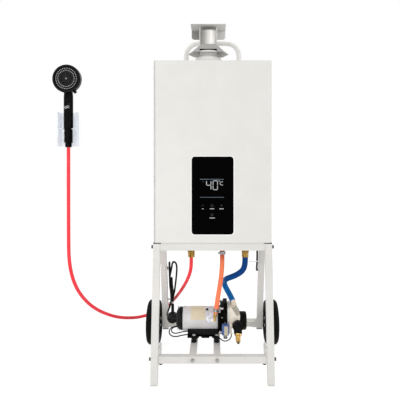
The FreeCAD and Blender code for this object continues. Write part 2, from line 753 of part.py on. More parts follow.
def wheel_hub():
    """A moulded hub: boss on the axle, thin web with windows, and the rim under the tyre."""
    width = S.wheel_width
    rim_outer = S.wheel_diameter / 2 - S.tyre_depth
    rim_inner = rim_outer - S.rim_wall
    bore = S.axle_radius + S.axle_play
    web_low = width / 2 - S.web_thickness / 2
    web_high = width / 2 + S.web_thickness / 2
    boss_end = width - S.head_thickness - S.axle_end_play
    rim_low = width * 0.12
    rim_high = width * 0.88
    body = turned_x("hub", [
        (0, bore), (0, S.hub_radius), (web_low, S.hub_radius + 2), (web_low, rim_inner), (rim_low, rim_inner),
        (rim_low, rim_outer), (rim_high, rim_outer), (rim_high, rim_inner), (web_high, rim_inner),
        (web_high, S.hub_radius + 2), (boss_end, S.hub_radius), (boss_end, bore)])
    window = sketch(body, "YZ", width / 2)
    near = S.hub_radius + 5
    far = rim_inner - 3
    shoulder = (far * 0.42, far * 0.86)
    loop(window, [(-near * 0.3, near), (near * 0.3, near), shoulder, (0, far), (-shoulder[0], shoulder[1])])
    cut = pocket(body, window, S.web_thickness * 2)
    repeat_round(body, cut, "X", S.spoke_count)
    return body


def tyre():
    """A solid rubber tyre with rounded shoulders."""
    width = S.wheel_width
    outer = S.wheel_diameter / 2
    seat_radius = outer - S.tyre_depth
    body = turned_x("tyre", [
        (width * 0.1, seat_radius), (0, seat_radius + S.tyre_depth * 0.35), (0, outer), (width, outer),
        (width, seat_radius + S.tyre_depth * 0.35), (width * 0.9, seat_radius)])
    soften(body, S.tyre_round, round_edge_at(outer))
    return body


def wheels():
    pair("stub_axles", stub_axle())
    for side in ("right", "left"):
        for label, make in (("hub", wheel_hub), ("tyre", tyre)):
            piece = on_axle(make(), WHEEL_INNER)
            if side == "left":
                piece = mirrored(piece)
            node("wheel_%s_%s" % (side, label), piece)


# ---------------------------------------------------------------- casing


def front_cover():
    """The painted sheet that wraps the front and both sides, with air slots low in the sides."""
    body = new_body("cover")
    half = S.casing_width / 2
    wall = S.sheet
    drawing = loop(sketch(body, "XY", CASING_FLOOR), [
        (-half, S.casing_depth), (-half, 0), (half, 0), (half, S.casing_depth), (half - wall, S.casing_depth),
        (half - wall, wall), (wall - half, wall), (wall - half, S.casing_depth)])
    pad(body, drawing, S.casing_height)
    soften(body, S.casing_corner, lambda edge: along(edge, (0, 0, 1)) and abs(middle(edge).y) < 1e-3)
    soften(body, S.casing_corner - wall, lambda edge: along(edge, (0, 0, 1))
           and abs(middle(edge).y - wall.value) < 1e-3 and abs(middle(edge).x) > half.value - 2 * wall.value)
    window = sketch(body, "XZ")
    play = S.bolt_play
    half_width = S.panel_width / 2 + play
    low = CASING_FLOOR + S.panel_level
    loop(window, square(-half_width, low - play, half_width, low + S.panel_height + play))
    pocket(body, window, S.casing_corner * 2)
    soften(body, S.panel_corner + play, lambda edge: along(edge, (0, 1, 0))
           and abs(abs(middle(edge).x) - half_width.value) < 1e-3)
    slot = sketch(body, "YZ")
    start = S.casing_depth / 2 - S.vent_length / 2
    level = CASING_FLOOR + S.vent_level
    loop(slot, square(start, level, start + S.vent_length, level + S.vent_height))
    cut = pocket(body, slot, S.casing_width * 2)
    repeat(body, cut, "Z", S.vent_pitch, S.vent_count)
    node("front_cover", body)


def rear_chassis():
    """The folded chassis: back, floor and roof, with the holes for pipes, cord and flue."""
    body = new_body("chassis")
    wall = S.sheet
    half = S.casing_width / 2 - wall
    depth = S.casing_depth
    drawing = loop(sketch(body, "YZ"), [
        (wall, CASING_FLOOR), (depth, CASING_FLOOR), (depth, CASING_TOP), (wall, CASING_TOP),
        (wall, CASING_TOP - wall), (depth - wall, CASING_TOP - wall), (depth - wall, CASING_FLOOR + wall),
        (wall, CASING_FLOOR + wall)])
    pad(body, drawing, half * 2, True)
    soften(body, S.casing_corner, lambda edge: along(edge, (0, 0, 1)) and abs(middle(edge).y - wall.value) < 1e-3)
    floor = sketch(body, "XY", CASING_FLOOR)
    for x in (S.hot_port, S.gas_port, S.cold_port):
        ring(floor, x, PORT_DEPTH, S.nipple_radius + S.bolt_play)
    ring(floor, CORD_PORT, CORD_PORT_DEPTH, S.cord_radius * 2 + S.bolt_play)
    pocket(body, floor, S.casing_corner * 2)
    roof = sketch(body, "XY", CASING_TOP)
    ring(roof, S.flue_offset, PORT_DEPTH, S.flue_bore)
    pocket(body, roof, S.casing_corner * 2)
    slot = sketch(body, "XY", CASING_FLOOR)
    left = -S.casing_width * 0.4
    loop(slot, square(left, S.casing_depth * 0.2, left + S.vent_height, S.casing_depth * 0.8))
    cut = pocket(body, slot, S.casing_corner * 2)
    repeat(body, cut, "X", S.vent_pitch, dim(4))
    node("rear_chassis", body)


def hanging_bracket():
    """The rail on the casing's back that is screwed to both uprights."""
    body = new_body("hanger")
    low = CASING_TOP - S.hanger_drop
    drawing = sketch(body, "XZ", -S.casing_depth)
    loop(drawing, square(-BAR_HALF, low, BAR_HALF, low + S.hanger_height))
    pad(body, drawing, S.plate, reverse=True)
    soften(body, S.plate * 2, lambda edge: along(edge, (0, 1, 0)))
    node("hanging_bracket", body)


def control_panel():
    """A glass-fronted panel pushed out through the casing, with a lip behind the sheet."""
    body = new_body("panel")
    low = CASING_FLOOR + S.panel_level
    half = S.panel_width / 2
    face = sketch(body, "XZ", S.panel_proud)
    loop(face, square(-half, low, half, low + S.panel_height))
    pad(body, face, S.panel_proud + S.sheet, reverse=True)
    soften(body, S.panel_corner, lambda edge: along(edge, (0, 1, 0)))
    lip = sketch(body, "XZ", -S.sheet)
    edge_size = S.panel_lip
    loop(lip, square(-half - edge_size, low - edge_size, half + edge_size, low + S.panel_height + edge_size))
    pad(body, lip, S.panel_glass, reverse=True)
    node("control_panel", body)


BLOCK_WIDTH = S.casing_width * 0.55
BLOCK_DEPTH = S.casing_depth * 0.7
BURNER_Z = CASING_FLOOR + S.casing_height * 0.45
BURNER_HEIGHT = S.casing_height * 0.18
EXCHANGER_HEIGHT = S.casing_height * 0.16


def heat_exchanger():
    """A finned copper block with a hood that narrows to the flue."""
    body = new_body("exchanger")
    low = BURNER_Z + BURNER_HEIGHT
    top = low + EXCHANGER_HEIGHT
    half_x = BLOCK_WIDTH / 2
    half_y = BLOCK_DEPTH / 2
    x = S.flue_offset
    y = PORT_DEPTH
    pad(body, loop(sketch(body, "XY", low), square(x - half_x, y - half_y, x + half_x, y + half_y)), EXCHANGER_HEIGHT)
    groove = sketch(body, "XZ", -y)
    pitch = BLOCK_WIDTH / 28
    loop(groove, square(x - half_x + pitch * 0.6, low, x - half_x + pitch * 1.4, low + EXCHANGER_HEIGHT * 0.8))
    cut = pocket(body, groove, BLOCK_DEPTH * 2)
    repeat(body, cut, "X", pitch, dim(27))
    neck = S.flue_bore * 1.2
    narrow_z = CASING_TOP - S.sheet
    for wall, kind in ((dim(0), "Additive"), (S.plate, "Subtractive")):
        across = half_x - wall
        deep = half_y - wall
        wide = loop(sketch(body, "XY", top), square(x - across, y - deep, x + across, y + deep))
        mouth = neck - wall
        narrow = loop(sketch(body, "XY", narrow_z), square(x - mouth, y - mouth, x + mouth, y + mouth))
        loft(body, wide, narrow, kind)
    node("heat_exchanger", body)


def burner():
    """The burner tray and the chamber walls over it, carried from the chassis's back."""
    x = S.flue_offset - BLOCK_WIDTH / 2
    y = PORT_DEPTH - BLOCK_DEPTH / 2
    wall = S.tube_wall
    shell = block("burner_tray", x, y, BURNER_Z, BLOCK_WIDTH, BLOCK_DEPTH, BURNER_HEIGHT)
    inside = block("burner_inside", x + wall, y + wall, BURNER_Z + S.plate, BLOCK_WIDTH - wall * 2,
                   BLOCK_DEPTH - wall * 2, BURNER_HEIGHT)
    back = S.casing_depth - S.sheet
    pieces = [less("burner_box", shell, inside)]
    for index in range(6):
        pieces.append(block("burner_bar", x + BLOCK_WIDTH * (index + 0.6) / 6.2, y + wall, BURNER_Z + S.plate,
                            BLOCK_WIDTH / 18, BLOCK_DEPTH - wall * 2, BURNER_HEIGHT * 0.35))
    pieces.append(block("burner_arm", x + 10, y + BLOCK_DEPTH, BURNER_Z, BLOCK_WIDTH - 20,
                        back - y - BLOCK_DEPTH, S.plate))
    node("burner", fused("burner_whole", pieces))


def inner_valves():
    """The gas valve under the burner and the water valve beside it, each on its pipe."""
    pipe_low = CASING_FLOOR + S.sheet
    valve_z = BURNER_Z - S.valve_drop
    pipe = rod("gas_pipe", S.gas_port, PORT_DEPTH, pipe_low, S.nipple_radius, BURNER_Z - pipe_low)
    valve = block("gas_block", S.gas_port - S.gas_block_width / 2, PORT_DEPTH - S.gas_block_depth / 3, valve_z,
                  S.gas_block_width, S.gas_block_depth, S.gas_block_height)
    node("gas_valve", fused("gas_valve_whole", [pipe, valve]))
    top = BURNER_Z + BURNER_HEIGHT / 2
    side = S.flue_offset + BLOCK_WIDTH / 2
    pipe = rod("cold_pipe", S.cold_port, PORT_DEPTH, pipe_low, S.nipple_radius, top - pipe_low)
    flow = rod("flow_body", S.cold_port, PORT_DEPTH, valve_z, S.flow_radius, S.flow_height)
    shoe = block("pipe_shoe", side, PORT_DEPTH - S.shoe_depth / 2, top - S.shoe_height,
                 S.cold_port - side, S.shoe_depth, S.shoe_height)
    node("water_valve", fused("water_valve_whole", [pipe, flow, shoe]))


def control_box():
    """The board's plastic box behind the panel."""
    body = new_body("box")
    low = CASING_FLOOR + S.panel_level
    start = S.sheet + S.panel_glass
    half = S.panel_width * 0.4
    drawing = loop(sketch(body, "XZ", -start), square(-half, low, half, low + S.panel_height * 0.55))
    pad(body, drawing, S.casing_depth * 0.3, reverse=True)
    soften(body, 4, lambda edge: along(edge, (0, 1, 0)))
    node("control_box", body)


# ---------------------------------------------------------------- ports under the casing


PORT_END = CASING_FLOOR - S.port_drop
GAS_HOSE_TOP = CASING_FLOOR - S.gas_hose_drop


def union(name, x):
    """A nipple through the casing's floor, with its flange under the floor and the hose nut at its end."""
    y = PORT_DEPTH
    stem_low = PORT_END + S.nut_height
    stem = rod(name + "_stem", x, y, stem_low, S.nipple_radius, CASING_FLOOR + S.sheet - stem_low)
    nut = hexagon(name + "_nut", x, y, PORT_END, S.nut_across, S.nut_height)
    collar = rod(name + "_collar", x, y, PORT_END + S.nut_height * 0.7, S.nut_across * 0.62, S.nut_height * 0.3)
    flange = rod(name + "_flange", x, y, CASING_FLOOR - 4, S.nipple_radius + 4, 4)
    return fused(name, [stem, nut, collar, flange])


def ports():
    node("water_unions", group("water_unions", [union("hot_union", S.hot_port), union("cold_union", S.cold_port)]))
    x = S.gas_port
    y = PORT_DEPTH
    stem = rod("gas_stem", x, y, GAS_HOSE_TOP, S.nipple_radius, CASING_FLOOR + S.sheet - GAS_HOSE_TOP)
    nut = hexagon("gas_nut", x, y, CASING_FLOOR - S.gas_nut_height, S.nut_across + 2, S.gas_nut_height)
    node("gas_inlet", fused("gas_inlet_whole", [stem, nut]))
    body = new_body("grommet")
    low = CASING_FLOOR - 10
    bore = S.cord_radius + S.bolt_play
    waist = S.cord_radius * 2
    revolve(body, loop(sketch(body, "XZ"), [
        (bore, low), (bore + 1.5, low), (waist + 3, CASING_FLOOR - 3), (waist + 3, CASING_FLOOR),
        (waist, CASING_FLOOR), (waist, CASING_FLOOR + S.sheet), (0, CASING_FLOOR + S.sheet),
        (0, CASING_FLOOR - 2), (bore, CASING_FLOOR - 2)]), "V_Axis")
    node("cord_grommet", seat(body, CORD_PORT, CORD_PORT_DEPTH, 0))


# ---------------------------------------------------------------- flue


HOOD_LOW = CASING_TOP + S.hood_rise
HOOD_HIGH = HOOD_LOW + S.hood_height
RAIN_TOP = CASING_TOP + S.rain_rise


def at_flue(piece):
    return seat(piece, S.flue_offset, PORT_DEPTH, 0)


def flue_collar():
    """The spun collar on the roof: a wide foot, a rolled shoulder and a neck with an eased lip."""
    body = new_body("collar")
    foot = S.collar_base_radius
    neck = S.collar_neck_radius
    shoulder = CASING_TOP + S.collar_base_height
    top = CASING_TOP + S.collar_height
    revolve(body, loop(sketch(body, "XZ"), [
        (S.flue_bore, CASING_TOP), (foot, CASING_TOP), (foot, shoulder), (foot - 2, shoulder + 5),
        (foot - 6, shoulder + 9), (foot - 11, shoulder + 11), (neck + 1, shoulder + 12),
        (neck, shoulder + 14), (neck, top - 2), (neck - 2, top), (S.flue_bore, top)]), "V_Axis")
    node("flue_collar", at_flue(body))


def six(half, corner, depth):
    """The corners of the hood's flattened hexagon."""
    return [(half, 0), (corner, depth), (-corner, depth), (-half, 0), (-corner, -depth), (corner, -depth)]


def flue_hood():
    """The folded draught hood: six sloping sides round an open underside, on two legs."""
    body = new_body("hood")
    for wall, kind in ((dim(0), "Additive"), (S.pipe_wall, "Subtractive")):
        low = six(S.hood_half - wall, S.hood_corner - wall, S.hood_depth - wall)
        high = six(S.hood_top_half - wall, S.hood_top_corner - wall, S.hood_top_depth - wall)
        wide = loop(sketch(body, "XY", HOOD_LOW), low)
        narrow = loop(sketch(body, "XY", HOOD_HIGH - wall), high)
        loft(body, wide, narrow, kind)
    pocket(body, ring(sketch(body, "XY", HOOD_HIGH), 0, 0, S.pipe_radius - S.pipe_wall), S.pipe_wall * 4)
    leg_low = CASING_TOP + S.collar_height * 0.75
    inner = S.collar_neck_radius
    half = S.hood_leg / 2
    for side in (1, -1):
        corners = square(inner * side, -half, (inner + S.plate) * side, half)
        pad(body, loop(sketch(body, "XY", leg_low), corners), HOOD_HIGH - leg_low - S.pipe_wall)
    node("flue_diverter", at_flue(body))


def flue_pipe():
    body = new_body("pipe")
    drawing = ring(sketch(body, "XY", HOOD_HIGH), 0, 0, S.pipe_radius)
    pad(body, ring(drawing, 0, 0, S.pipe_radius - S.pipe_wall), S.pipe_height)
    node("flue_pipe", at_flue(body))


def rain_cap():
    """A flat roof with a back flange whose corners are rounded, on two straps beside the pipe."""
    body = new_body("cap")
    half = S.rain_width / 2
    half_y = S.rain_depth / 2
    sheet = S.rain_sheet
    pad(body, loop(sketch(body, "XY", RAIN_TOP), square(-half, -half_y, half, half_y)), sheet)
    drawing = loop(sketch(body, "XZ", -half_y), square(-half, RAIN_TOP - S.rain_drop, half, RAIN_TOP))
    pad(body, drawing, sheet)
    soften(body, S.rain_round, lambda edge: along(edge, (0, 1, 0)) and middle(edge).z < RAIN_TOP.value - 5)
    start = S.pipe_radius + S.strap_play
    for side in (1, -1):
        corners = square(start * side, -S.strap_width / 2, (start + S.strap_thickness) * side, S.strap_width / 2)
        pad(body, loop(sketch(body, "XY", HOOD_HIGH), corners), RAIN_TOP - HOOD_HIGH)
    node("rain_cap", at_flue(body))


# ---------------------------------------------------------------- pump


def motor():
    """The motor's drawn can, with its rolled rear edge, and the moulded cap behind it."""
    y = S.pump_depth
    z = S.motor_level
    body = new_body("can")
    radius = S.motor_radius
    length = S.motor_length
    revolve(body, loop(sketch(body, "XY"), [
        (0, 0), (0, radius - 3), (1, radius - 1), (3, radius), (length - 6, radius), (length - 5, radius - 1),
        (length, radius - 1), (length, 0)]), "H_Axis")
    node("motor_can", seat(body, S.motor_left, y, z))

    body = new_body("end_cap")
    length = S.end_cap_length
    radius = S.end_cap_radius
    revolve(body, loop(sketch(body, "XY"), [
        (0, 0), (0, radius * 0.62), (length * 0.1, radius * 0.76), (length * 0.35, radius * 0.9),
        (length * 0.6, radius * 0.98), (length * 0.75, radius), (length, radius), (length, 0)]), "H_Axis")
    node("motor_end_cap", seat(body, S.motor_left - length, y, z))


def pump_base():
    """The moulded saddle: a plate, two flanks up to the can, notches, and an ear over each foot."""
    body = new_body("base")
    half = S.base_half
    left = S.rail_left - S.base_overhang
    length = MOTOR_RIGHT - left
    plate = S.base_plate
    foot = half - 14
    rim = half - 15.5
    outline = [(-half, 0), (half, 0), (half, plate), (foot, plate), (rim, S.base_height),
               (-rim, S.base_height), (-foot, plate), (-half, plate)]
    pad(body, loop(sketch(body, "YZ", left), outline), length)
    cradle = ring(sketch(body, "YZ", left + length / 2), 0, S.motor_level - PUMP_FLOOR, S.motor_radius)
    pocket(body, cradle, length * 2)
    notch = sketch(body, "XZ")
    middle_x = (S.rail_left + S.rail_right) / 2
    for side in (-1, 1):
        near = middle_x + 12 * side
        loop(notch, square(near, -1, near + 8 * side, plate * 0.8))
    pocket(body, notch, half * 4)
    ears = sketch(body, "XY", plate)
    for rail in (S.rail_left, S.rail_right):
        for side in (-1, 1):
            ring(ears, rail, S.foot_spread / 2 * side, BOLT_HOLE)
    pocket(body, ears, S.base_height * 4)
    node("pump_base", seat(body, 0, S.pump_depth, PUMP_FLOOR))


def pump_feet():
    """Rubber grommets with a waist, each round its bolt between the saddle and a rail."""
    feet = []
    for rail in (S.rail_left, S.rail_right):
        for side in (-1, 1):
            body = new_body("foot")
            gap = S.base_gap
            wide = S.foot_radius
            revolve(body, loop(sketch(body, "XZ"), [
                (BOLT_HOLE, 0), (wide, 0), (wide, gap * 0.35), (wide * 0.78, gap * 0.5), (wide, gap * 0.65),
                (wide, gap), (BOLT_HOLE, gap)]), "V_Axis")
            feet.append(seat(body, rail, S.pump_depth + S.foot_spread / 2 * side, FRONT_TUBE_TOP))
    node("pump_feet", group("pump_feet", feet))


def pump_bolts():
    """The four bolts through the feet, and the four that draw the head's flange together."""
    pieces = []
    low = FRONT_TUBE_TOP + S.plate
    top = PUMP_FLOOR + S.base_plate
    for rail in (S.rail_left, S.rail_right):
        for side in (-1, 1):
            y = S.pump_depth + S.foot_spread / 2 * side
            shank = rod("foot_bolt_shank", rail, y, low, S.bolt_radius, top - low)
            head = hexagon("foot_bolt_head", rail, y, top, S.head_bolt * 1.8, S.bolt_radius)
            pieces.append(fused("foot_bolt", [shank, head]))
    reach = S.flange_half - S.head_bolt - 1
    for side in (-1, 1):
        for z in (HEAD_BOLT_TOP, HEAD_BOLT_LOW):
            x = FLANGE_FACE - S.head_bolt_reach
            y = S.pump_depth + reach * side
            shank = rod("head_bolt_shank", x, y, z, S.bolt_radius, S.head_bolt_reach, "X")
            head = rod("head_bolt_head", x, y, z, S.head_bolt, S.bolt_radius, "X")
            pieces.append(fused("head_bolt", [shank, head]))
    node("pump_bolts", group("pump_bolts", pieces))


HEAD_BOLT_TOP = S.motor_level + S.flange_rise - S.flange_round / 2
HEAD_BOLT_LOW = PUMP_FLOOR + S.flange_round * 0.6


def pump_flange():
    """The moulded front of the motor: its round bell, a square step and the bolted flange."""
    body = new_body("flange")
    low = PUMP_FLOOR - S.motor_level
    bell = S.bell_length
    revolve(body, loop(sketch(body, "XY"), [
        (0, 0), (0, S.bell_radius - 1.5), (1.5, S.bell_radius), (bell, S.bell_radius), (bell, 0)]), "H_Axis")
    step = S.step_half
    far = bell + S.step_length
    drawing = loop(sketch(body, "YZ", bell), square(-step, low + 4, step, S.bell_radius + 4))
    pad(body, drawing, S.step_length)
    soften(body, S.flange_round / 2, lambda edge: along(edge, (1, 0, 0)) and abs(middle(edge).z) > step.value / 2
           and bell.value < middle(edge).x < far.value)
    half = S.flange_half
    drawing = loop(sketch(body, "YZ", far), square(-half, low, half, S.flange_rise))
    pad(body, drawing, S.flange_thickness)
    soften(body, S.flange_round, lambda edge: along(edge, (1, 0, 0)) and abs(abs(middle(edge).y) - half.value) < 1e-3
           and middle(edge).z > 0)
    soften(body, S.flange_round / 2, lambda edge: along(edge, (1, 0, 0))
           and abs(abs(middle(edge).y) - half.value) < 1e-3 and middle(edge).z < 0)
    node("pump_flange", seat(body, MOTOR_RIGHT, S.pump_depth, S.motor_level))


def valve_housing():
    """The die-cast head: a seam plate, a wedge that falls away to the right, bevelled, and a clip."""
    body = new_body("housing")
    low = -S.housing_drop
    top = S.housing_rise
    half = S.housing_half
    seam = S.seam_plate
    length = S.housing_length
    drawing = loop(sketch(body, "YZ"), square(-half - seam, low, half + seam, top))
    pad(body, drawing, seam)
    soften(body, S.flange_round / 2, lambda edge: along(edge, (1, 0, 0)))
    wedge = loop(sketch(body, "XZ"), [
        (seam, low), (length, low), (length, top - S.housing_slope_drop), (length - S.housing_slope, top),
        (seam, top)])
    pad(body, wedge, half * 2, True)
    soften(body, S.housing_bevel, lambda edge: abs(abs(middle(edge).y) - half.value) < 1e-3
           and middle(edge).x > length.value - S.housing_slope.value - 1 and not along(edge, (1, 0, 0)), "Chamfer")
    clip = loop(sketch(body, "XZ", half), square(seam, low - seam * 2, seam + S.clip_width, low + S.clip_height / 2))
    pad(body, clip, S.clip_depth)
    node("valve_housing", seat(body, HOUSING_START, S.pump_depth, S.motor_level))


def pressure_switch():
    """The switch's moulded case under the head, with its blade terminals below."""
    body = new_body("switch")
    half = S.switch_width / 2
    drawing = loop(sketch(body, "XZ"), square(-half, 0, half, S.switch_height))
    pad(body, drawing, S.switch_depth)
    soften(body, 1.5, lambda edge: along(edge, (0, 1, 0)))
    blades = sketch(body, "XY")
    for side in (-1, 1):
        loop(blades, square(side * 2, -S.switch_depth * 0.7, side * 6, -S.switch_depth * 0.3))
    pad(body, blades, 6, reverse=True)
    x = HOUSING_START - S.switch_width / 2 + S.seam_plate * 0.8
    node("pressure_switch", seat(body, x, S.pump_depth - S.flange_half, S.switch_level))


def pump_ports():
    """The black parts on the head: its domed end, the ribbed inlet elbow and the outlet spout."""
    y = S.pump_depth
    z = S.motor_level
    dome = new_body("dome")
    radius = S.dome_radius
    length = S.dome_length
    ease = S.dome_round
    revolve(dome, loop(sketch(dome, "XY"), [
        (0, 0), (0, radius), (length - ease, radius), (length - ease * 0.3, radius - ease * 0.3),
        (length, radius - ease), (length, 0)]), "H_Axis")
    seat(dome, HOUSING_START + S.housing_length, y, z - S.dome_drop)

    front = y - S.housing_half
    inlet = new_body("inlet")
    rib = S.inlet_length / 6
    wide = S.inlet_radius
    waist = S.inlet_radius * 0.9
    revolve(inlet, loop(sketch(inlet, "XY"), [
        (0, 0), (0, wide * 0.8), (rib * 0.4, wide), (rib * 2, wide), (rib * 2, waist), (rib * 3, waist),
        (rib * 3, wide), (rib * 4, wide), (rib * 4, waist), (rib * 6, waist), (rib * 6, 0)]), "H_Axis")
    turn(inlet, (0, 0, 1), 90)
    seat(inlet, INLET_X, front - S.inlet_length, INLET_Z)
    elbow = turn(rod("inlet_elbow", INLET_X, KNEE, INLET_Z, S.inlet_radius * 0.78, S.inlet_reach), (1, 0, 0), 150)
    suction = fused("inlet_body", [inlet, elbow])

    x, spout_y, spout_z = OUTLET
    lean = FreeCAD.Vector(*OUTLET_LEAN).normalize()
    back = S.spout_length
    foot = rod("outlet_foot", x + back / 4, y - back / 4, HOUSING_TOP, S.outlet_radius, back * 0.09)
    spout = rod("outlet_spout", x - lean.x * back, spout_y - lean.y * back, spout_z - lean.z * back,
                S.spout_radius, back)
    spout.Placement.Rotation = FreeCAD.Rotation(FreeCAD.Vector(0, 0, 1), lean)
    under = block("outlet_under", x - FAR / 4, y - FAR / 4, HOUSING_TOP - FAR / 4, FAR / 2, FAR / 2, FAR / 4)
    outlet = less("outlet_body", fused("outlet_whole", [foot, spout]), under)
    node("port_fittings", group("port_fittings", [dome, suction, outlet]))

    body = new_body("nipple")
    flange = S.brass_radius * 1.4
    bore = S.brass_radius * 0.6
    revolve(body, loop(sketch(body, "XZ"), [
        (bore, 0), (flange, 0), (flange, 6), (S.brass_radius, 7), (S.brass_radius, S.brass_length),
        (bore, S.brass_length)]), "V_Axis")
    turn(body, (1, 0, 0), 150)
    drop = root(dim(0.75))
    node("inlet_nipple", seat(body, INLET_X, KNEE - S.inlet_reach / 2, INLET_Z - S.inlet_reach * drop))


def pump():
    motor()
    pump_base()
    pump_feet()
    pump_bolts()
    pump_flange()
    valve_housing()
    pressure_switch()
    pump_ports()


INLET_X = HOUSING_START + S.housing_length - 8
INLET_Z = S.motor_level - S.inlet_drop
KNEE = S.pump_depth - S.housing_half - S.inlet_length / 2
OUTLET = (HOUSING_START + 19, S.pump_depth - 2, HOUSING_TOP + 9)


# ---------------------------------------------------------------- hoses and cords


def hung(points, start, end):
    """The points of a run, shifted so that it leaves and reaches its pieces where they now are."""
    path = [FreeCAD.Vector(*point) for point in points]
    first = FreeCAD.Vector(*[dim(amount).value for amount in start]) - path[0]
    last = FreeCAD.Vector(*[dim(amount).value for amount in end]) - path[-1]
    steps = [0, 0] + [(path[index] - path[index - 1]).Length for index in range(2, len(path) - 1)] + [0]
    whole = sum(steps)
    gone = 0
    shifted = []
    for point, step in zip(path, steps):
        gone += step
        share = gone / whole
        shifted.append(point + first * (1 - share) + last * share)
    return shifted


def route(label, radius, points, start, end):
    """A plain tube along straight runs that tangent arcs join, each as large as its runs allow."""
    path = hung(points, start, end)
    edges = []
    radii = []
    begin = path[0]
    for index in range(1, len(path) - 1):
        before = path[index - 1] - path[index]
        after = path[index + 1] - path[index]
        reach = 0.45 * min(before.Length, after.Length)
        half_turn = (math.pi - before.getAngle(after)) / 2
        radii.append(reach / math.tan(half_turn))
        into = path[index] + before.normalize() * reach
        out = path[index] + after.normalize() * reach
        inward = (into + out) * 0.5 - path[index]
        to_centre = math.hypot(reach, radii[-1])
        top = path[index] + inward.normalize() * (to_centre - radii[-1])
        edges.append(Part.LineSegment(begin, into).toShape())
        edges.append(Part.Arc(into, top, out).toShape())
        begin = out
    edges.append(Part.LineSegment(begin, path[-1]).toShape())
    line = Part.Wire(edges)
    first = path[1] - path[0]
    section = Part.Wire([Part.Circle(path[0], first, radius.value).toShape()])
    solid = line.makePipeShell([section], True, False)
    tube = DOC.addObject("Part::Feature", label)
    tube.Shape = solid
    expected = math.pi * radius.value ** 2 * line.Length
    print("%s: length %.0f, smallest radius %.0f, volume ratio %.4f" %
          (label, line.Length, min(radii), abs(solid.Volume) / expected))
    print("   radii " + " ".join("%.0f" % value for value in radii))
    return node(label, seat(tube))


SHOWER_HOSE = [
    (-66, 75, 335), (-66, 75, 308), (-70, 84, 285), (-78, 101, 262), (-88, 128, 238), (-100, 163, 213),
    (-113.8, 211, 185), (-128.4, 253, 159), (-147, 293, 130), (-172, 326, 101), (-207, 359, 75), (-243, 358, 64),
    (-271, 334, 64), (-295, 303, 72), (-316, 271, 83), (-338, 238, 98), (-358, 208, 116), (-378, 178, 137),
    (-396, 147, 163), (-411, 115, 195), (-423, 84, 233), (-431, 60, 276), (-435.8, 46, 326),
    (-436.7, 42, 384), (-436.7, 42, 674)]
GAS_HOSE = [
    (30, 75, 373), (30, 75, 330), (29, 71, 300), (25.5, 62, 270), (20.5, 53, 241), (15, 47, 212),
    (12.9, 44.5, 193.5), (8.9, 42, 171.5)]
GAS_TAIL_LEAN = (-8, -5, -44)
WATER_HOSE = [
    (101, 75, 335), (101, 75, 313), (95, 80, 293), (77, 85, 278), (58, 90, 269), (44, 103, 261),
    (38, 122, 250), (38, 137, 235), (45, 138, 219), (55, 121, 206), (64, 98, 191)]
OUTLET_LEAN = [before - after for before, after in zip(WATER_HOSE[-2], WATER_HOSE[-1])]
PUMP_CORD = [
    (-113, 100, 140), (-131, 102, 139), (-143, 115, 138), (-147, 138, 137), (-147, 160, 138), (-145, 181, 142),
    (-142, 198, 150), (-140, 210, 163), (-139, 219, 180)]
HEATER_CORD = [
    (143, 130, 389), (143, 130, 365), (144, 136, 338), (145, 148, 312), (146, 168, 288), (147, 193, 270),
    (151, 219, 261), (161, 237, 265), (168, 243, 285), (168, 236, 312), (162, 225, 341), (147, 214, 366),
    (125, 205, 384), (102, 200, 401), (86, 193, 437)]
MOTOR_LEAD = [(-109, 82, 118), (-124, 80, 117), (-135, 80, 108), (-135, 79, 95), (-126, 78, 88), (-111, 77, 87),
              (-97, 76, 92), (-80, 75, 96)]
PUMP_HANK = (-132, 150)
HEATER_HANK = (87, 192, 430)


def beside_leg(piece, x, level):
    """Seat a piece, made upright, so that it leans with the rear leg, over its middle line at a level."""
    turn(piece, (1, 0, 0), math.degrees(math.atan(S.rear_slope.value)))
    return seat(piece, x, rear_line(level) + S.tube_width * REAR_RUN / 2, level)


def pump_hank():
    """The outer shape of the pump's folded cord: a wide bight, a narrow one, and the tied neck."""
    body = new_body("pump_hank")
    drawing = loop(sketch(body, "XZ"), [
        (-11, -6), (-4.5, -6), (-4.5, 2), (0, 14), (5, 40), (15, 116), (15.5, 134), (11, 149), (3, 153),
        (-6, 150), (-9, 146), (-11, 150), (-14, 148), (-15.5, 138), (-17.5, 40), (-12, 14), (-11, 2)])
    pad(body, drawing, S.hank_depth, True)
    return node("pump_cord_hank", beside_leg(body, PUMP_HANK[0], dim(PUMP_HANK[1])))


def heater_hank():
    """The outer shape of the heater's folded cord, tied in the middle, hung behind the casing."""
    body = new_body("heater_hank")
    high = 130
    neck = S.cord_radius * 1.3
    side = [(neck, high + 12), (neck, high), (12, high - 4), (18, high - 18), (11, high / 2 + 8),
            (11, high / 2 - 8), (18, 18), (12, 4)]
    other = [(-x, z) for x, z in reversed(side)]
    pad(body, loop(sketch(body, "XZ"), side + other), S.hank_depth, True)
    return node("heater_cord_hank", seat(body, HEATER_HANK[0], HEATER_HANK[1], HEATER_HANK[2]))


def plug(label, radius, height):
    """A round moulded plug, made lying on its face, with a ribbed grip, two blades and its cord's sleeve."""
    body = new_body(label + "_body")
    rib = height * 0.12
    waist = radius * 0.93
    points = [(0, 0), (radius * 0.75, 0), (waist, rib * 0.6), (radius, rib * 1.5), (radius, rib * 3.4),
              (waist, rib * 3.7), (radius, rib * 4), (radius, rib * 5), (waist, rib * 5.3), (radius, rib * 5.6),
              (radius, height), (0, height)]
    revolve(body, loop(sketch(body, "XZ"), points), "V_Axis")
    blades = sketch(body, "XY", height)
    for side in (-1, 1):
        outer = radius * 0.45 * side
        loop(blades, square(outer, -2.5, outer - 1.6 * side, 2.5))
    pad(body, blades, height * 0.5)
    sleeve = ring(sketch(body, "XZ", radius * 0.8), 0, height * 0.65, S.cord_radius * 1.7)
    pad(body, sleeve, radius * 1.72)
    return body


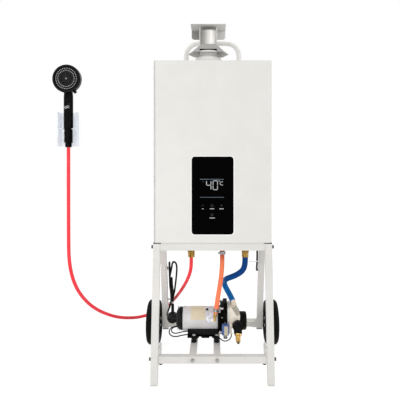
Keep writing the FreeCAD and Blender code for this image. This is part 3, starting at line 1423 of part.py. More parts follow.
def plugs():
    """Both plugs face forwards; the pump's hangs from its hank and the heater's stands on it."""
    body = turn(plug("pump_plug", 18, 22), (1, 0, 0), -90)
    x, level = PUMP_HANK
    y = rear_line(dim(level)) + S.tube_width * REAR_RUN / 2
    node("pump_plug", seat(body, x - 4.5, y - 22, level - 50.5))
    body = plug("heater_plug", 18, 22)
    body.Placement.Rotation = FreeCAD.Rotation(FreeCAD.Vector(0, 0, 1), 180).multiply(
        FreeCAD.Rotation(FreeCAD.Vector(1, 0, 0), 90))
    node("heater_plug", seat(body, HEATER_HANK[0], HEATER_HANK[1] - 14, HEATER_HANK[2] + 185))


def clamp(name, x, y, z, angle, lean=None):
    """A worm clamp round the gas hose: its band, the screw's housing on one side, and the screw."""
    body = new_body(name)
    inner = S.gas_hose_radius + S.clamp_play
    outer = inner + S.clamp_wall
    drawing = ring(ring(sketch(body, "XY"), 0, 0, outer), 0, 0, inner)
    pad(body, drawing, S.clamp_width, True)
    housing = loop(sketch(body, "XY"), square(-6, -outer - 5, 6, -outer + S.clamp_wall / 2))
    pad(body, housing, S.clamp_width, True)
    length = S.screw_length
    screw = sketch(body, "YZ", 6 - length)
    ring(screw, -outer - S.screw_radius, 0, S.screw_radius)
    pad(body, screw, length)
    head = sketch(body, "YZ", 6)
    ring(head, -outer - S.screw_radius, 0, S.screw_radius * 1.5)
    pad(body, head, S.screw_radius * 1.4)
    spin = FreeCAD.Rotation(FreeCAD.Vector(0, 0, 1), angle)
    if lean is not None:
        spin = FreeCAD.Rotation(FreeCAD.Vector(0, 0, -1), FreeCAD.Vector(*lean)).multiply(spin)
    body.Placement.Rotation = spin
    return seat(body, x, y, z)


def gas_tail():
    """The brass tail pushed into the gas hose's free end: a collar and a plain spigot."""
    body = new_body("tail")
    wide = S.tail_radius + 2
    length = S.tail_length
    revolve(body, loop(sketch(body, "XZ"), [
        (0, 0), (wide - 1.5, 0), (wide - 1.5, -3), (wide, -4), (wide, -9), (S.tail_radius, -11),
        (S.tail_radius, -length), (0, -length)]), "V_Axis")
    lean = FreeCAD.Rotation(FreeCAD.Vector(0, 0, -1), FreeCAD.Vector(*GAS_TAIL_LEAN))
    body.Placement.Rotation = lean
    x, y, z = GAS_END
    return node("gas_hose_tail", seat(body, x, y, z))


def cable_tie(name, reach, level, tilt):
    """A nylon tie round the left rear leg, tilted across it, reaching inwards by reach from its middle."""
    body = new_body(name)
    wall = S.tie_wall
    half = S.tube_width / 2
    turned = math.radians(tilt)
    left = -(half + S.tie_play + math.sin(turned) * S.tie_width / 2) / math.cos(turned)
    outline = loop(sketch(body, "XY"), square(left - wall, -half - wall, reach + wall, half + wall))
    pad(body, loop(outline, square(left, -half, reach, half)), S.tie_width, True)
    start = reach - 3 * S.tie_width
    front = -half - wall
    head = loop(sketch(body, "XY"), square(start, front - 3, start + S.tie_width, front))
    pad(body, head, S.tie_width * 1.3, True)
    slope = FreeCAD.Rotation(FreeCAD.Vector(1, 0, 0), math.degrees(math.atan(S.rear_slope.value)))
    body.Placement.Rotation = slope.multiply(FreeCAD.Rotation(FreeCAD.Vector(0, 1, 0), tilt))
    return seat(body, -REAR_CENTRE, rear_line(level) + S.tube_width * REAR_RUN / 2, level)


def cable_ties():
    """The tie round the left rear leg and the hank's neck, and the slanting one higher up the leg."""
    low = cable_tie("hank_tie", REAR_CENTRE + PUMP_HANK[0] - 1.5, dim(PUMP_HANK[1] + 4), 0)
    high = cable_tie("leg_tie", S.leg_tie_reach, S.leg_tie_level, 50)
    node("cable_ties", group("cable_ties", [low, high]))


GAS_END = (S.gas_port + GAS_HOSE[-1][0] - GAS_HOSE[0][0], PORT_DEPTH + GAS_HOSE[-1][1] - GAS_HOSE[0][1],
           GAS_HOSE_TOP + GAS_HOSE[-1][2] - GAS_HOSE[0][2])


def hoses():
    start = (S.hot_port, PORT_DEPTH, PORT_END)
    route("shower_hose", S.shower_hose_radius, SHOWER_HOSE, start, (S.shower_left, S.shower_depth, S.shower_level))
    start = (S.gas_port, PORT_DEPTH, GAS_HOSE_TOP)
    route("gas_hose", S.gas_hose_radius, GAS_HOSE, start, GAS_END)
    start = (S.cold_port, PORT_DEPTH, PORT_END)
    route("water_hose", S.water_hose_radius, WATER_HOSE, start, OUTLET)
    gas_tail()
    lean = FreeCAD.Vector(*GAS_TAIL_LEAN).normalize()
    x, y, z = GAS_END
    up = -8
    clamps = [clamp("upper_clamp", S.gas_port, PORT_DEPTH, GAS_HOSE_TOP - 24, 0),
              clamp("lower_clamp", x + lean.x * up, y + lean.y * up, z + lean.z * up, 90, lean)]
    node("hose_clamps", group("hose_clamps", clamps))


def cords():
    start = (S.motor_left - S.end_cap_length, S.pump_depth, S.motor_level + 3)
    slip = rear_line(dim(PUMP_HANK[1])) - rear_line(S.leg_height)
    end = (PUMP_CORD[-1][0], BACK_FACE + slip + PUMP_CORD[-1][1] - 222.02, PUMP_CORD[-1][2])
    route("pump_cord", S.cord_radius, PUMP_CORD, start, end)
    pump_hank()
    start = (CORD_PORT, CORD_PORT_DEPTH, CASING_FLOOR - 2)
    route("heater_cord", S.cord_radius, HEATER_CORD, start, HEATER_CORD[-1])
    heater_hank()
    plugs()
    start = (S.motor_left - 16, S.pump_depth - 18, S.motor_level - 19)
    end = (S.motor_left + 17.5, S.pump_depth - 25, PUMP_FLOOR + 3)
    route("motor_lead", S.lead_radius, MOTOR_LEAD, start, end)
    cable_ties()


# ---------------------------------------------------------------- hand shower and its wall bracket


NECK_RADIUS = S.grip_width / 2 - 1.4
SHOULDER = S.hose_nut_height + S.shoulder_rise
SLIDER_LOW = S.grip_length - S.slider_drop
GRIP_HALF = S.grip_width / 2
HEAD_BACK = S.head_thickness / 2


def at_shower(piece):
    return seat(piece, S.shower_left, S.shower_depth, S.shower_level)


def handset():
    """Grip, shoulder and domed head of a hand shower, with its hose nut and the slider's recess."""
    body = new_body("grip")
    nut = S.hose_nut_height
    pad(body, ring(sketch(body, "XY"), 0, 0, S.hose_nut_radius), nut)
    pad(body, ring(sketch(body, "XY", nut), 0, 0, NECK_RADIUS), SHOULDER - nut)
    pad(body, ring(sketch(body, "XY", SHOULDER), 0, 0, GRIP_HALF), S.grip_length - SHOULDER)
    slope_low = ring(sketch(body, "XY", S.grip_length), 0, 0, GRIP_HALF)
    slope_high = ring(sketch(body, "XY", S.head_level - 8), 0, 0, GRIP_HALF - 3)
    loft(body, slope_low, slope_high)
    reach = S.head_radius
    back = HEAD_BACK
    dome = sketch(body, "XY", S.head_level)
    loop(dome, [(0, back), (reach * 0.45, back - 1), (reach * 0.8, back * 0.45), (reach, -back * 0.3),
                (reach, -back), (0, -back)])
    revolve(body, dome, "V_Axis")
    bore = sketch(body, "XZ", back)
    ring(bore, 0, S.head_level, S.axle_radius + S.axle_play)
    pocket(body, bore, 7, False)
    track = sketch(body, "XZ", GRIP_HALF - 4)
    wide = S.slider_width / 2 + S.slider_play
    top = SLIDER_LOW + S.slider_height + S.slider_travel + S.slider_play
    loop(track, square(-wide, SLIDER_LOW - S.slider_play, wide, top))
    pocket(body, track, GRIP_HALF, False, True)
    node("handset", at_shower(body))


def spray_face():
    """The turning face: a rim, a stepped disc with rings of nozzles, a boss in the head, a lever."""
    body = new_body("face")
    start = HEAD_BACK + S.face_gap
    front = start + S.face_thickness
    deep = S.step_depth
    reach = S.head_radius
    inner = reach - S.rim_step
    revolve(body, loop(sketch(body, "XY"), [
        (0, -start), (reach, -start), (reach, -front + 2), (reach - 0.8, -front + 0.6), (reach - 2, -front),
        (inner, -front), (inner - 1, -front + deep), (inner - 12, -front + deep), (inner - 13, -front + deep / 2),
        (0, -front + deep / 2)]), "V_Axis")
    boss = sketch(body, "XZ", start)
    pad(body, ring(boss, 0, 0, S.axle_radius), 6, reverse=True)
    angle = math.radians(S.lever_angle.value)
    out_x, out_z = math.cos(angle), math.sin(angle)
    near = reach - 4
    far = reach + S.lever_length
    half = S.lever_width / 2
    thin = half * 0.7
    lever = sketch(body, "XZ", start)
    loop(lever, [(near * out_x - half * out_z, near * out_z + half * out_x),
                 (near * out_x + half * out_z, near * out_z - half * out_x),
                 (far * out_x + thin * out_z, far * out_z - thin * out_x),
                 (far * out_x - thin * out_z, far * out_z + thin * out_x)])
    pad(body, lever, S.face_thickness - 2)
    for level, radius, count in ((front - deep, reach - 12, S.outer_nozzles),
                                 (front - deep / 2, reach * 0.46, S.inner_nozzles)):
        one = pad(body, ring(sketch(body, "XZ", level), radius, 0, S.nozzle_radius), S.nozzle_height)
        repeat_round(body, one, "Y", count)
    pad(body, ring(sketch(body, "XZ", front - deep / 2), 0, 0, S.nozzle_radius * 3), S.nozzle_height)
    node("spray_face", seat(body, S.shower_left, S.shower_depth, HEAD_Z))


def flow_button():
    """The sliding button, its face cut with three grip grooves."""
    body = new_body("button")
    floor = GRIP_HALF - 4 + S.slider_play
    half = S.slider_width / 2
    drawing = loop(sketch(body, "XZ", floor), square(-half, SLIDER_LOW, half, SLIDER_LOW + S.slider_height))
    pad(body, drawing, 4 + S.slider_proud - S.slider_play)
    soften(body, 1.5, lambda edge: along(edge, (0, 1, 0)))
    grooves = sketch(body, "XZ", GRIP_HALF + S.slider_proud - 0.6)
    for step in range(3):
        low = SLIDER_LOW + 2.6 + step * 2.4
        loop(grooves, square(-half + 2, low, half - 2, low + 0.9))
    pocket(body, grooves, 2, False, True)
    node("flow_button", at_shower(body))


def shower_bracket():
    """A moulded channel for a wall, with a notched shelf that carries the handset's shoulder."""
    body = new_body("holder")
    half = S.holder_width / 2
    wall = S.holder_wall
    back = GRIP_HALF + 5
    front = back - S.holder_depth
    low = S.holder_level
    drawing = sketch(body, "XY", low)
    loop(drawing, [(-half, front), (wall - half, front), (wall - half, back - wall), (half - wall, back - wall),
                   (half - wall, front), (half, front), (half, back), (-half, back)])
    pad(body, drawing, S.holder_height)
    soften(body, wall * 2, lambda edge: along(edge, (0, 0, 1)) and abs(middle(edge).y - back.value) < 1e-3)
    notch = NECK_RADIUS + S.holder_gap
    shelf = loop(sketch(body, "XY", SHOULDER - wall), square(wall - half, front + 4, half - wall, back - wall))
    pad(body, shelf, wall)
    pocket(body, ring(sketch(body, "XY", SHOULDER), 0, 0, notch), wall * 2)
    mouth = loop(sketch(body, "XY", SHOULDER), square(-notch, front, notch, 0))
    pocket(body, mouth, wall * 2)
    screws = sketch(body, "XZ", -back)
    for z in (low + S.wall_screw_inset, low + S.holder_height - S.wall_screw_inset):
        ring(screws, 0, z, S.wall_screw)
    pocket(body, screws, wall * 3)
    node("shower_bracket", at_shower(body))


# ---------------------------------------------------------------- the model

frame()
frame_bolts()
back_frame()
handle()
wheels()
front_cover()
rear_chassis()
hanging_bracket()
control_panel()
heat_exchanger()
burner()
inner_valves()
control_box()
ports()
flue_collar()
flue_hood()
flue_pipe()
rain_cap()
pump()
hoses()
cords()
handset()
spray_face()
flow_button()
shower_bracket()

DOC.recompute()
for thing in DOC.Objects:
    if "Invalid" in thing.State or "Error" in thing.State:
        raise ValueError("%s is %s" % (thing.Name, thing.State))
os.makedirs("parts", exist_ok=True)
for piece in NODES:
    if piece.Shape.isNull() or not piece.Shape.isValid():
        raise ValueError(piece.Label + " has no valid shape")
    piece.Shape.exportStep("parts/%s.step" % piece.Label)
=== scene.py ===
import math

import bmesh
import bpy
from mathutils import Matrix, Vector


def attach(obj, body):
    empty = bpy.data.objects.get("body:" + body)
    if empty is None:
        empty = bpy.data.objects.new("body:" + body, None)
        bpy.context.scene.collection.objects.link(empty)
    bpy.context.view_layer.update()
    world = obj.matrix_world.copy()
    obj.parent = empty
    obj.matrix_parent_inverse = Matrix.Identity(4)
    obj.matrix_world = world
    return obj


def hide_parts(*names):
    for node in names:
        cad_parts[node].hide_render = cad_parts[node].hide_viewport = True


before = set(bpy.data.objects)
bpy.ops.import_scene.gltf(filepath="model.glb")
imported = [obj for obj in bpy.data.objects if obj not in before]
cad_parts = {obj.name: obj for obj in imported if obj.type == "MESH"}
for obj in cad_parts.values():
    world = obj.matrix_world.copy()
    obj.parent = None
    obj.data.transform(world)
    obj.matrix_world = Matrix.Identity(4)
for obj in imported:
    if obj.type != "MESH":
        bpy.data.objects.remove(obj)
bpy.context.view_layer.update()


# ------------------------------------------------------------------ studio: camera, lamps, floor
# A level camera stands in front of the heater, a little above half its height. Big soft lamps and
# an even white surround light it plainly, and the white paper floor keeps a faint shadow.

ROW_SHIFT_X = 127.35
ROW_SHIFT_Y = -131.591


def at(x, y, z):
    """A place measured in millimetres from the floor under the middle of the casing's front."""
    return Vector((x + ROW_SHIFT_X, y + ROW_SHIFT_Y, z)) / 1000


camera_data = bpy.data.cameras.new("studio_camera")
camera_data.lens = 42.3
camera_data.sensor_width = 36
camera_data.shift_x = -0.0315
camera_data.shift_y = -0.0875
camera = bpy.data.objects.new("studio_camera", camera_data)
camera.location = at(0, -1382, 620)
camera.rotation_euler = (math.radians(90), 0, 0)
bpy.context.scene.collection.objects.link(camera)
bpy.context.scene.camera = camera
bpy.context.scene.view_settings.view_transform = "Standard"

LAMP_TARGET = Vector((0.05, 0, 0.55))


def soft_lamp(name, place, size, watts, tall=None):
    """A soft box, in metres and watts, that faces the heater's middle. It is square unless it is tall."""
    data = bpy.data.lights.new(name, "AREA")
    data.shape = "RECTANGLE"
    data.size = size
    data.size_y = tall or size
    data.energy = watts
    lamp = bpy.data.objects.new(name, data)
    lamp.location = Vector(place)
    lamp.rotation_euler = (LAMP_TARGET - lamp.location).to_track_quat("-Z", "Y").to_euler()
    bpy.context.scene.collection.objects.link(lamp)


soft_lamp("key_lamp", (-1.3, -2.5, 2.1), 0.8, 9)
soft_lamp("fill_lamp", (2.2, -2.0, 1.3), 1.4, 7.5)
soft_lamp("top_lamp", (0.2, 0.3, 3.0), 1.8, 13)
soft_lamp("low_lamp", (-0.5, -2.3, 0.3), 0.9, 5)
soft_lamp("left_lamp", (-2.2, 0.5, 0.5), 0.9, 7)
soft_lamp("right_lamp", (2.2, 0.5, 0.5), 0.9, 5)
soft_lamp("strip_lamp", (-1.0, -2.3, 0.62), 0.12, 3, 1.1)


def linear(colour):
    """A hex colour as the linear values that a shader takes."""
    parts = [int(colour[place:place + 2], 16) / 255 for place in (1, 3, 5)]
    return [part / 12.92 if part <= 0.04045 else ((part + 0.055) / 1.055) ** 2.4 for part in parts] + [1]


def add(tree, kind, links=(), **settings):
    """A node with its settings. Links name one of its inputs and the output that feeds it."""
    node = tree.nodes.new(kind)
    for name, value in settings.items():
        if hasattr(node, name):
            setattr(node, name, value)
        else:
            node.inputs[name.replace("_", " ")].default_value = value
    for name, source in links:
        tree.links.new(source, node.inputs[name])
    return node


def seen_white(tree, light, white_share, strength=1.0):
    """Light's shader, part of it replaced by plain white where a camera, a gloss or a glass looks at it."""
    path = add(tree, "ShaderNodeLightPath")
    direct = add(tree, "ShaderNodeMath", operation="MAXIMUM",
                 links=[(0, path.outputs["Is Camera Ray"]), (1, path.outputs["Is Glossy Ray"])])
    seen = add(tree, "ShaderNodeMath", operation="MAXIMUM",
               links=[(0, direct.outputs[0]), (1, path.outputs["Is Transmission Ray"])])
    share = add(tree, "ShaderNodeMath", [(0, seen.outputs[0])], operation="MULTIPLY")
    share.inputs[1].default_value = white_share
    kind = "ShaderNodeBackground" if light.type == "BACKGROUND" else "ShaderNodeEmission"
    white = add(tree, kind, Color=linear("#FFFFFF"), Strength=strength)
    mix = add(tree, "ShaderNodeMixShader",
              [(0, share.outputs[0]), (1, light.outputs[0]), (2, white.outputs[0])])
    return mix.outputs[0]


world = bpy.data.worlds.new("white_surround")
bpy.context.scene.world = world
world.use_nodes = True
surround = world.node_tree
surround.nodes.clear()
even_light = add(surround, "ShaderNodeBackground", Color=linear("#FFFFFF"), Strength=0.75)
add(surround, "ShaderNodeOutputWorld", [("Surface", seen_white(surround, even_light, 1.0))])

FLOOR_SIDE = 12
FLOOR_FRONT = -6
FLOOR_BACK = 14
floor_mesh = bpy.data.meshes.new("studio_floor")
floor_mesh.from_pydata([(-FLOOR_SIDE, FLOOR_FRONT, 0), (FLOOR_SIDE, FLOOR_FRONT, 0),
                        (FLOOR_SIDE, FLOOR_BACK, 0), (-FLOOR_SIDE, FLOOR_BACK, 0)], [], [(0, 1, 2, 3)])
floor = bpy.data.objects.new("studio_floor", floor_mesh)
bpy.context.scene.collection.objects.link(floor)
white_paper = bpy.data.materials.new("white_paper_floor")
white_paper.use_nodes = True
paper = white_paper.node_tree
paper.nodes.clear()
matt = add(paper, "ShaderNodeBsdfDiffuse", Color=linear("#F4F4F3"))
add(paper, "ShaderNodeOutputMaterial", [("Surface", seen_white(paper, matt, 0.8, 1.13))])
floor_mesh.materials.append(white_paper)


# ------------------------------------------------------------------ trolley frame
# Legs, cross tubes, rails and the back frame are square steel tube and plate, welded and then
# powder coated white. The coat is smooth and satin with the faint orange peel that baking leaves.


def finish(name, colour, roughness, metallic=0.0, ior=1.5, coat=0.0, gloss=0.5):
    """A plain surface to build on: its material, nodes and shader. Gloss under 0.5 is a dulled surface."""
    material = bpy.data.materials.new(name)
    material.use_nodes = True
    tree = material.node_tree
    shader = tree.nodes["Principled BSDF"]
    for label, value in (("Base Color", linear(colour)), ("Roughness", roughness), ("Metallic", metallic),
                         ("IOR", ior), ("Coat Weight", coat), ("Specular IOR Level", gloss)):
        shader.inputs[label].default_value = value
    return material, tree, shader


def toned(tree, shader, share, *stops):
    """Colour a surface by a share, through stops that each give a share and its tone."""
    tone = add(tree, "ShaderNodeValToRGB", [("Fac", share)])
    ramp = tone.color_ramp.elements
    for number, (way, colour) in enumerate(stops):
        stop = ramp[number] if number < 2 else ramp.new(way)
        stop.position = way
        stop.color = linear(colour)
    tree.links.new(tone.outputs["Color"], shader.inputs["Base Color"])


def mottled(tree, shader, light, dark, patch_mm, detail=3.0):
    """Let the colour wander between two tones in patches of a size."""
    place = add(tree, "ShaderNodeTexCoord")
    noise = add(tree, "ShaderNodeTexNoise", [("Vector", place.outputs["Object"])], Scale=1000 / patch_mm,
                Detail=detail, Roughness=0.55)
    toned(tree, shader, noise.outputs["Fac"], (0.3, dark), (0.7, light))
    return noise


def rough_skin(tree, shader, grain_mm, depth_mm, stretch=(1, 1, 1)):
    """A relief of a grain size, drawn out along an axis where stretch is under one.

    A grain too fine to show, as on moulded and cast pieces, is drawn as coarse as it needs.
    """
    place = add(tree, "ShaderNodeTexCoord")
    spread = add(tree, "ShaderNodeMapping", [("Vector", place.outputs["Object"])], Scale=stretch)
    noise = add(tree, "ShaderNodeTexNoise", [("Vector", spread.outputs["Vector"])], Scale=1000 / grain_mm,
                Detail=2.0)
    bump = add(tree, "ShaderNodeBump", [("Height", noise.outputs["Fac"])], Distance=depth_mm / 1000,
               Strength=1.0)
    tree.links.new(bump.outputs["Normal"], shader.inputs["Normal"])
    return noise


def patterned(name, colour, roughness, light, dark, patch_mm, detail=3.0, grain=None, **looks):
    """A surface of uneven tone. Grain, where it has one, is the size and depth of its relief."""
    material, tree, shader = finish(name, colour, roughness, **looks)
    mottled(tree, shader, light, dark, patch_mm, detail)
    if grain:
        rough_skin(tree, shader, *grain)
    return material


COAT_PATCH_MM = 60
ORANGE_PEEL = (2.5, 0.02)


def powder_coat(name, light, dark, roughness):
    """Baked powder coat: satin, faintly uneven in tone, with a fine orange peel."""
    return patterned(name, light, roughness, light, dark, COAT_PATCH_MM, grain=ORANGE_PEEL)


def settled(piece):
    """Turn an object's modifiers into plain mesh."""
    bpy.context.view_layer.update()
    shape = bpy.data.meshes.new_from_object(piece.evaluated_get(bpy.context.evaluated_depsgraph_get()))
    piece.modifiers.clear()
    piece.data = shape
    return piece


def dressed(node, material, body="trolley", ease_mm=0.6, smooth_deg=35):
    """A solid's own shape with its edges eased, wearing its finish."""
    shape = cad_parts[node].data.copy()
    shape.materials.clear()
    cleaner = bmesh.new()
    cleaner.from_mesh(shape)
    bmesh.ops.remove_doubles(cleaner, verts=cleaner.verts, dist=1e-6)
    bmesh.ops.dissolve_limit(cleaner, angle_limit=math.radians(0.4), verts=cleaner.verts, edges=cleaner.edges)
    for face in cleaner.faces:
        face.smooth = True
    cleaner.to_mesh(shape)
    cleaner.free()
    shape.set_sharp_from_angle(angle=math.radians(smooth_deg))
    piece = bpy.data.objects.new(node + "_finished", shape)
    bpy.context.scene.collection.objects.link(piece)
    if ease_mm:
        ease = piece.modifiers.new("eased_edges", "BEVEL")
        ease.width = ease_mm / 1000
        ease.segments = 2
        ease.limit_method = "ANGLE"
        ease.angle_limit = math.radians(40)
        ease.harden_normals = True
        settled(piece)
    piece.data.materials.clear()
    piece.data.materials.append(material)
    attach(piece, body)
    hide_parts(node)
    return piece


def repaint(piece, material, test):
    """Give a second finish to the faces whose middle, in working millimetres, passes the test."""
    number = len(piece.data.materials)
    piece.data.materials.append(material)
    for face in piece.data.polygons:
        middle = face.center * 1000
        if test(middle.x - ROW_SHIFT_X, middle.y - ROW_SHIFT_Y, middle.z, face.normal):
            face.material_index = number


def sockets(name, **kinds):
    """A new Geometry Nodes tree with a mesh coming in, named sizes and a mesh going out."""
    tree = bpy.data.node_groups.new(name, "GeometryNodeTree")
    tree.interface.new_socket("Geometry", in_out="INPUT", socket_type="NodeSocketGeometry")
    for label, kind in kinds.items():
        tree.interface.new_socket(label.replace("_", " "), in_out="INPUT", socket_type="NodeSocket" + kind)
    tree.interface.new_socket("Geometry", in_out="OUTPUT", socket_type="NodeSocketGeometry")
    return tree, add(tree, "NodeGroupInput").outputs


def grown(name, tree, seed, body, **values):
    """A piece that a tree grows from a seed mesh, turned to plain mesh and fixed to its body."""
    piece = bpy.data.objects.new(name, seed)
    growth = piece.modifiers.new("growth", "NODES")
    growth.node_group = tree
    for socket in tree.interface.items_tree:
        key = socket.name.replace(" ", "_")
        if socket.in_out == "INPUT" and key in values:
            growth[socket.identifier] = values[key]
    bpy.context.scene.collection.objects.link(piece)
    settled(piece)
    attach(piece, body)
    return piece


def paths(name, lines):
    """A seed mesh of open lines, each through its points in working millimetres."""
    points = [at(*point) for line in lines for point in line]
    edges = []
    start = 0
    for line in lines:
        edges += [(start + step, start + step + 1) for step in range(len(line) - 1)]
        start += len(line)
    seed = bpy.data.meshes.new(name)
    seed.from_pydata(points, edges, [])
    return seed


def sent_out(tree, copies, material, smooth=False):
    """End a tree: its copies become real mesh, take their material and go out."""
    real = add(tree, "GeometryNodeRealizeInstances", [("Geometry", copies.outputs[0])])
    last = add(tree, "GeometryNodeSetMaterial", [("Geometry", real.outputs[0]), ("Material", material)])
    if smooth:
        last = add(tree, "GeometryNodeSetShadeSmooth", [("Geometry", last.outputs[0])])
    add(tree, "NodeGroupOutput", [("Geometry", last.outputs[0])])


bead_tree, given = sockets("weld_bead", Spacing="Float", Bead_Radius="Float", Seed="Int", Metal="Material")
line = add(bead_tree, "GeometryNodeMeshToCurve", [("Mesh", given["Geometry"])])
steps = add(bead_tree, "GeometryNodeResampleCurve", mode="LENGTH",
            links=[("Curve", line.outputs[0]), ("Length", given["Spacing"])])
ripple = add(bead_tree, "GeometryNodeMeshIcoSphere", [("Radius", given["Bead Radius"])], Subdivisions=1)
uneven = add(bead_tree, "FunctionNodeRandomValue", [("Seed", given["Seed"])], data_type="FLOAT")
uneven.inputs[2].default_value = 0.8
uneven.inputs[3].default_value = 1.15
beads = add(bead_tree, "GeometryNodeInstanceOnPoints",
            [("Points", steps.outputs[0]), ("Instance", ripple.outputs[0]), ("Scale", uneven.outputs[1])])
sent_out(bead_tree, beads, given["Metal"], smooth=True)

white_coat = powder_coat("white_powder_coated_steel", "#E1DFDB", "#DAD8D4", 0.42)
for tube in ("front_legs", "rear_legs", "top_frame", "lower_cross_tubes", "pump_rails", "back_frame"):
    dressed(tube, white_coat, ease_mm=1.2)
for plate in ("corner_gussets", "leg_brackets", "hanging_bracket"):
    dressed(plate, white_coat, ease_mm=0.4)

# Beads run round the ends of both cross tubes, into the top frame's front corners, round the feet of
# the uprights, and up the back frame's two bars where these cross the uprights.
FRONT_CROSS_END = ((-50.6, 57), (-30.6, 57), (-30.6, 77), (-50.6, 77), (-50.6, 57))
REAR_CROSS_END = ((248.4, 59), (267.6, 64.6), (262, 83.8), (242.8, 78.2), (248.4, 59))
TOP_FRAME_CORNER = ((0, 368), (20, 368), (20, 388))
UPRIGHT_FOOT = ((76.5, 153), (96.5, 153), (96.5, 173), (76.5, 173), (76.5, 153))
UPRIGHT_FOOT_Z = 388.4
BAR_HEIGHTS = ((440, 470), (700, 730))
BEAD_MARGIN = 3
weld_lines = []
for side in (-1, 1):
    for x, outline in ((154.4, FRONT_CROSS_END), (152.4, REAR_CROSS_END), (154.4, TOP_FRAME_CORNER)):
        weld_lines.append([(x * side, y, z) for y, z in outline])
    weld_lines.append([(x * side, y, UPRIGHT_FOOT_Z) for x, y in UPRIGHT_FOOT])
    for low, high in BAR_HEIGHTS:
        weld_lines.append([(96.7 * side, 152.8, low + BEAD_MARGIN), (96.7 * side, 152.8, high - BEAD_MARGIN)])
welds = grown("weld_beads", bead_tree, paths("weld_lines", weld_lines), "trolley", Spacing=0.0016,
              Bead_Radius=0.0013, Seed=4, Metal=white_coat)


# ------------------------------------------------------------------ caps, feet and bolts
# Moulded polyethylene caps close the tube ends, and pale feet stand under the front legs. Zinc
# bolts hold the frame: dark heads at its sides, bright ones where the pump's rails are fixed.

# Moulded polyethylene looks dull and even. Black zinc plate glints darkly, bright zinc like old silver.
cap_plastic = patterned("moulded_polyethylene_caps", "#3A3A3B", 0.55, "#424243", "#303031", 12,
                        grain=(0.8, 0.01))
dressed("leg_end_caps", cap_plastic, ease_mm=0.5)
foot_plastic = patterned("moulded_pale_polyethylene_feet", "#CFCDC9", 0.5, "#D5D3CF", "#C4C2BE", 12)
dressed("front_feet", foot_plastic, ease_mm=0.5)

bolt_steel = patterned("black_zinc_plated_steel", "#4A4A4C", 0.35, "#5A5A5C", "#38383A", 6, metallic=0.9)
bright_zinc = patterned("bright_zinc_plated_steel", "#A9A9A7", 0.35, "#B2B2B0", "#989896", 4, metallic=1.0)
dressed("stub_axles", bolt_steel, ease_mm=0.4)
RAIL_BOLT_X = 75
RAIL_BOLT_Z = 100
frame_bolts = dressed("frame_bolts", bolt_steel, ease_mm=0.4)
repaint(frame_bolts, bright_zinc, lambda x, y, z, normal: abs(x) < RAIL_BOLT_X and z < RAIL_BOLT_Z)


# ------------------------------------------------------------------ handle
# One length of round tube bent to a U and slid into the uprights of the back frame. Its powder
# coat is smoother than that of the frame, and painted a shade brighter as painted light.

handle_coat = powder_coat("white_powder_coated_handle", "#EDECE9", "#E6E5E2", 0.38)
dressed("handle", handle_coat, ease_mm=0, smooth_deg=50)


# ------------------------------------------------------------------ wheels
# Solid rubber tyres on moulded polypropylene hubs, each turning on its stub axle. The rubber is
# dull and a little uneven, and the hubs are smoother.

tyre_rubber = patterned("solid_black_rubber_tyre", "#0B0B0B", 0.65, "#0E0E0E", "#080808", 25,
                        grain=(1.2, 0.03), gloss=0.08)
hub_plastic = patterned("moulded_black_polypropylene", "#070707", 0.32, "#090909", "#050505", 20,
                        grain=(0.9, 0.01), gloss=0.08)
for side in ("right", "left"):
    body = side + "_wheel"
    dressed("wheel_%s_tyre" % side, tyre_rubber, body, 0)
    dressed("wheel_%s_hub" % side, hub_plastic, body, 0.6)


# ------------------------------------------------------------------ casing
# Folded sheet steel with a smooth baked enamel. Its front and sides are one sheet; the chassis
# behind it is the back, floor and roof. A foam strip lies under the front edge.

# Baked enamel shines a little more than the frame's coat, and closed-cell foam hardly at all.
enamel = powder_coat("white_baked_enamel_sheet", "#E3E2DE", "#DFDEDA", 0.3)
for sheet in ("front_cover", "rear_chassis"):
    dressed(sheet, enamel, ease_mm=0.3)

grey_foam = patterned("grey_closed_cell_foam", "#DAD9D6", 0.9, "#DEDDDA", "#CFCECB", 5, grain=(1.0, 0.05),
                      gloss=0.2)


def made(name, maker, material, body="trolley"):
    """The piece that a maker holds, its faces turned outwards, fixed to its body."""
    bmesh.ops.recalc_face_normals(maker, faces=maker.faces[:])
    shape = bpy.data.meshes.new(name)
    maker.to_mesh(shape)
    maker.free()
    shape.materials.append(material)
    piece = bpy.data.objects.new(name, shape)
    bpy.context.scene.collection.objects.link(piece)
    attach(piece, body)
    return piece


def skinned(maker, rows, loop=False):
    """Skin rows of corners one after the other. A loop meets itself; any other skin gets two ends."""
    after_rows = rows[1:] + rows[:1] if loop else rows[1:]
    faces = []
    for one, two in zip(rows, after_rows):
        for corner in range(len(one)):
            after = (corner + 1) % len(one)
            faces.append(maker.faces.new((one[corner], one[after], two[after], two[corner])))
    if not loop:
        maker.faces.new(rows[0])
        maker.faces.new(rows[-1])
    return faces


def bar(name, low, high, material, ease_mm=0.4):
    """A moulded or cut strip between two corners in working millimetres, its edges eased."""
    maker = bmesh.new()
    bmesh.ops.create_cube(maker, size=1)
    middle = (at(*low) + at(*high)) / 2
    size = at(*high) - at(*low)
    for point in maker.verts:
        point.co = middle + Vector((point.co.x * size.x, point.co.y * size.y, point.co.z * size.z))
    bmesh.ops.bevel(maker, geom=maker.edges[:], offset=ease_mm / 1000, segments=2, affect="EDGES")
    return made(name, maker, material)


# Dark strips at the front cross tube's ends are painted shade in the gaps beside the legs.
for name, x in (("left_tube_joint", -154.2), ("right_tube_joint", 154.2)):
    bar(name, (x - 0.6, -51.3, 57.5), (x + 0.6, -50.2, 77), cap_plastic, 0.2)
# The sheet turns away at its left fold, and a grey strip there is painted shade.
fold_shade = patterned("shaded_fold_of_the_cover", "#C6C5C2", 0.4, "#CAC9C6", "#BFBEBB", 60)
bar("left_fold_line", (-172.3, -0.15, 391.6), (-169.7, 0.05, 927.4), fold_shade, 0.05)
bar("front_foam_strip", (-152, 0.6, 387.9), (152, 17, 391.1), grey_foam)


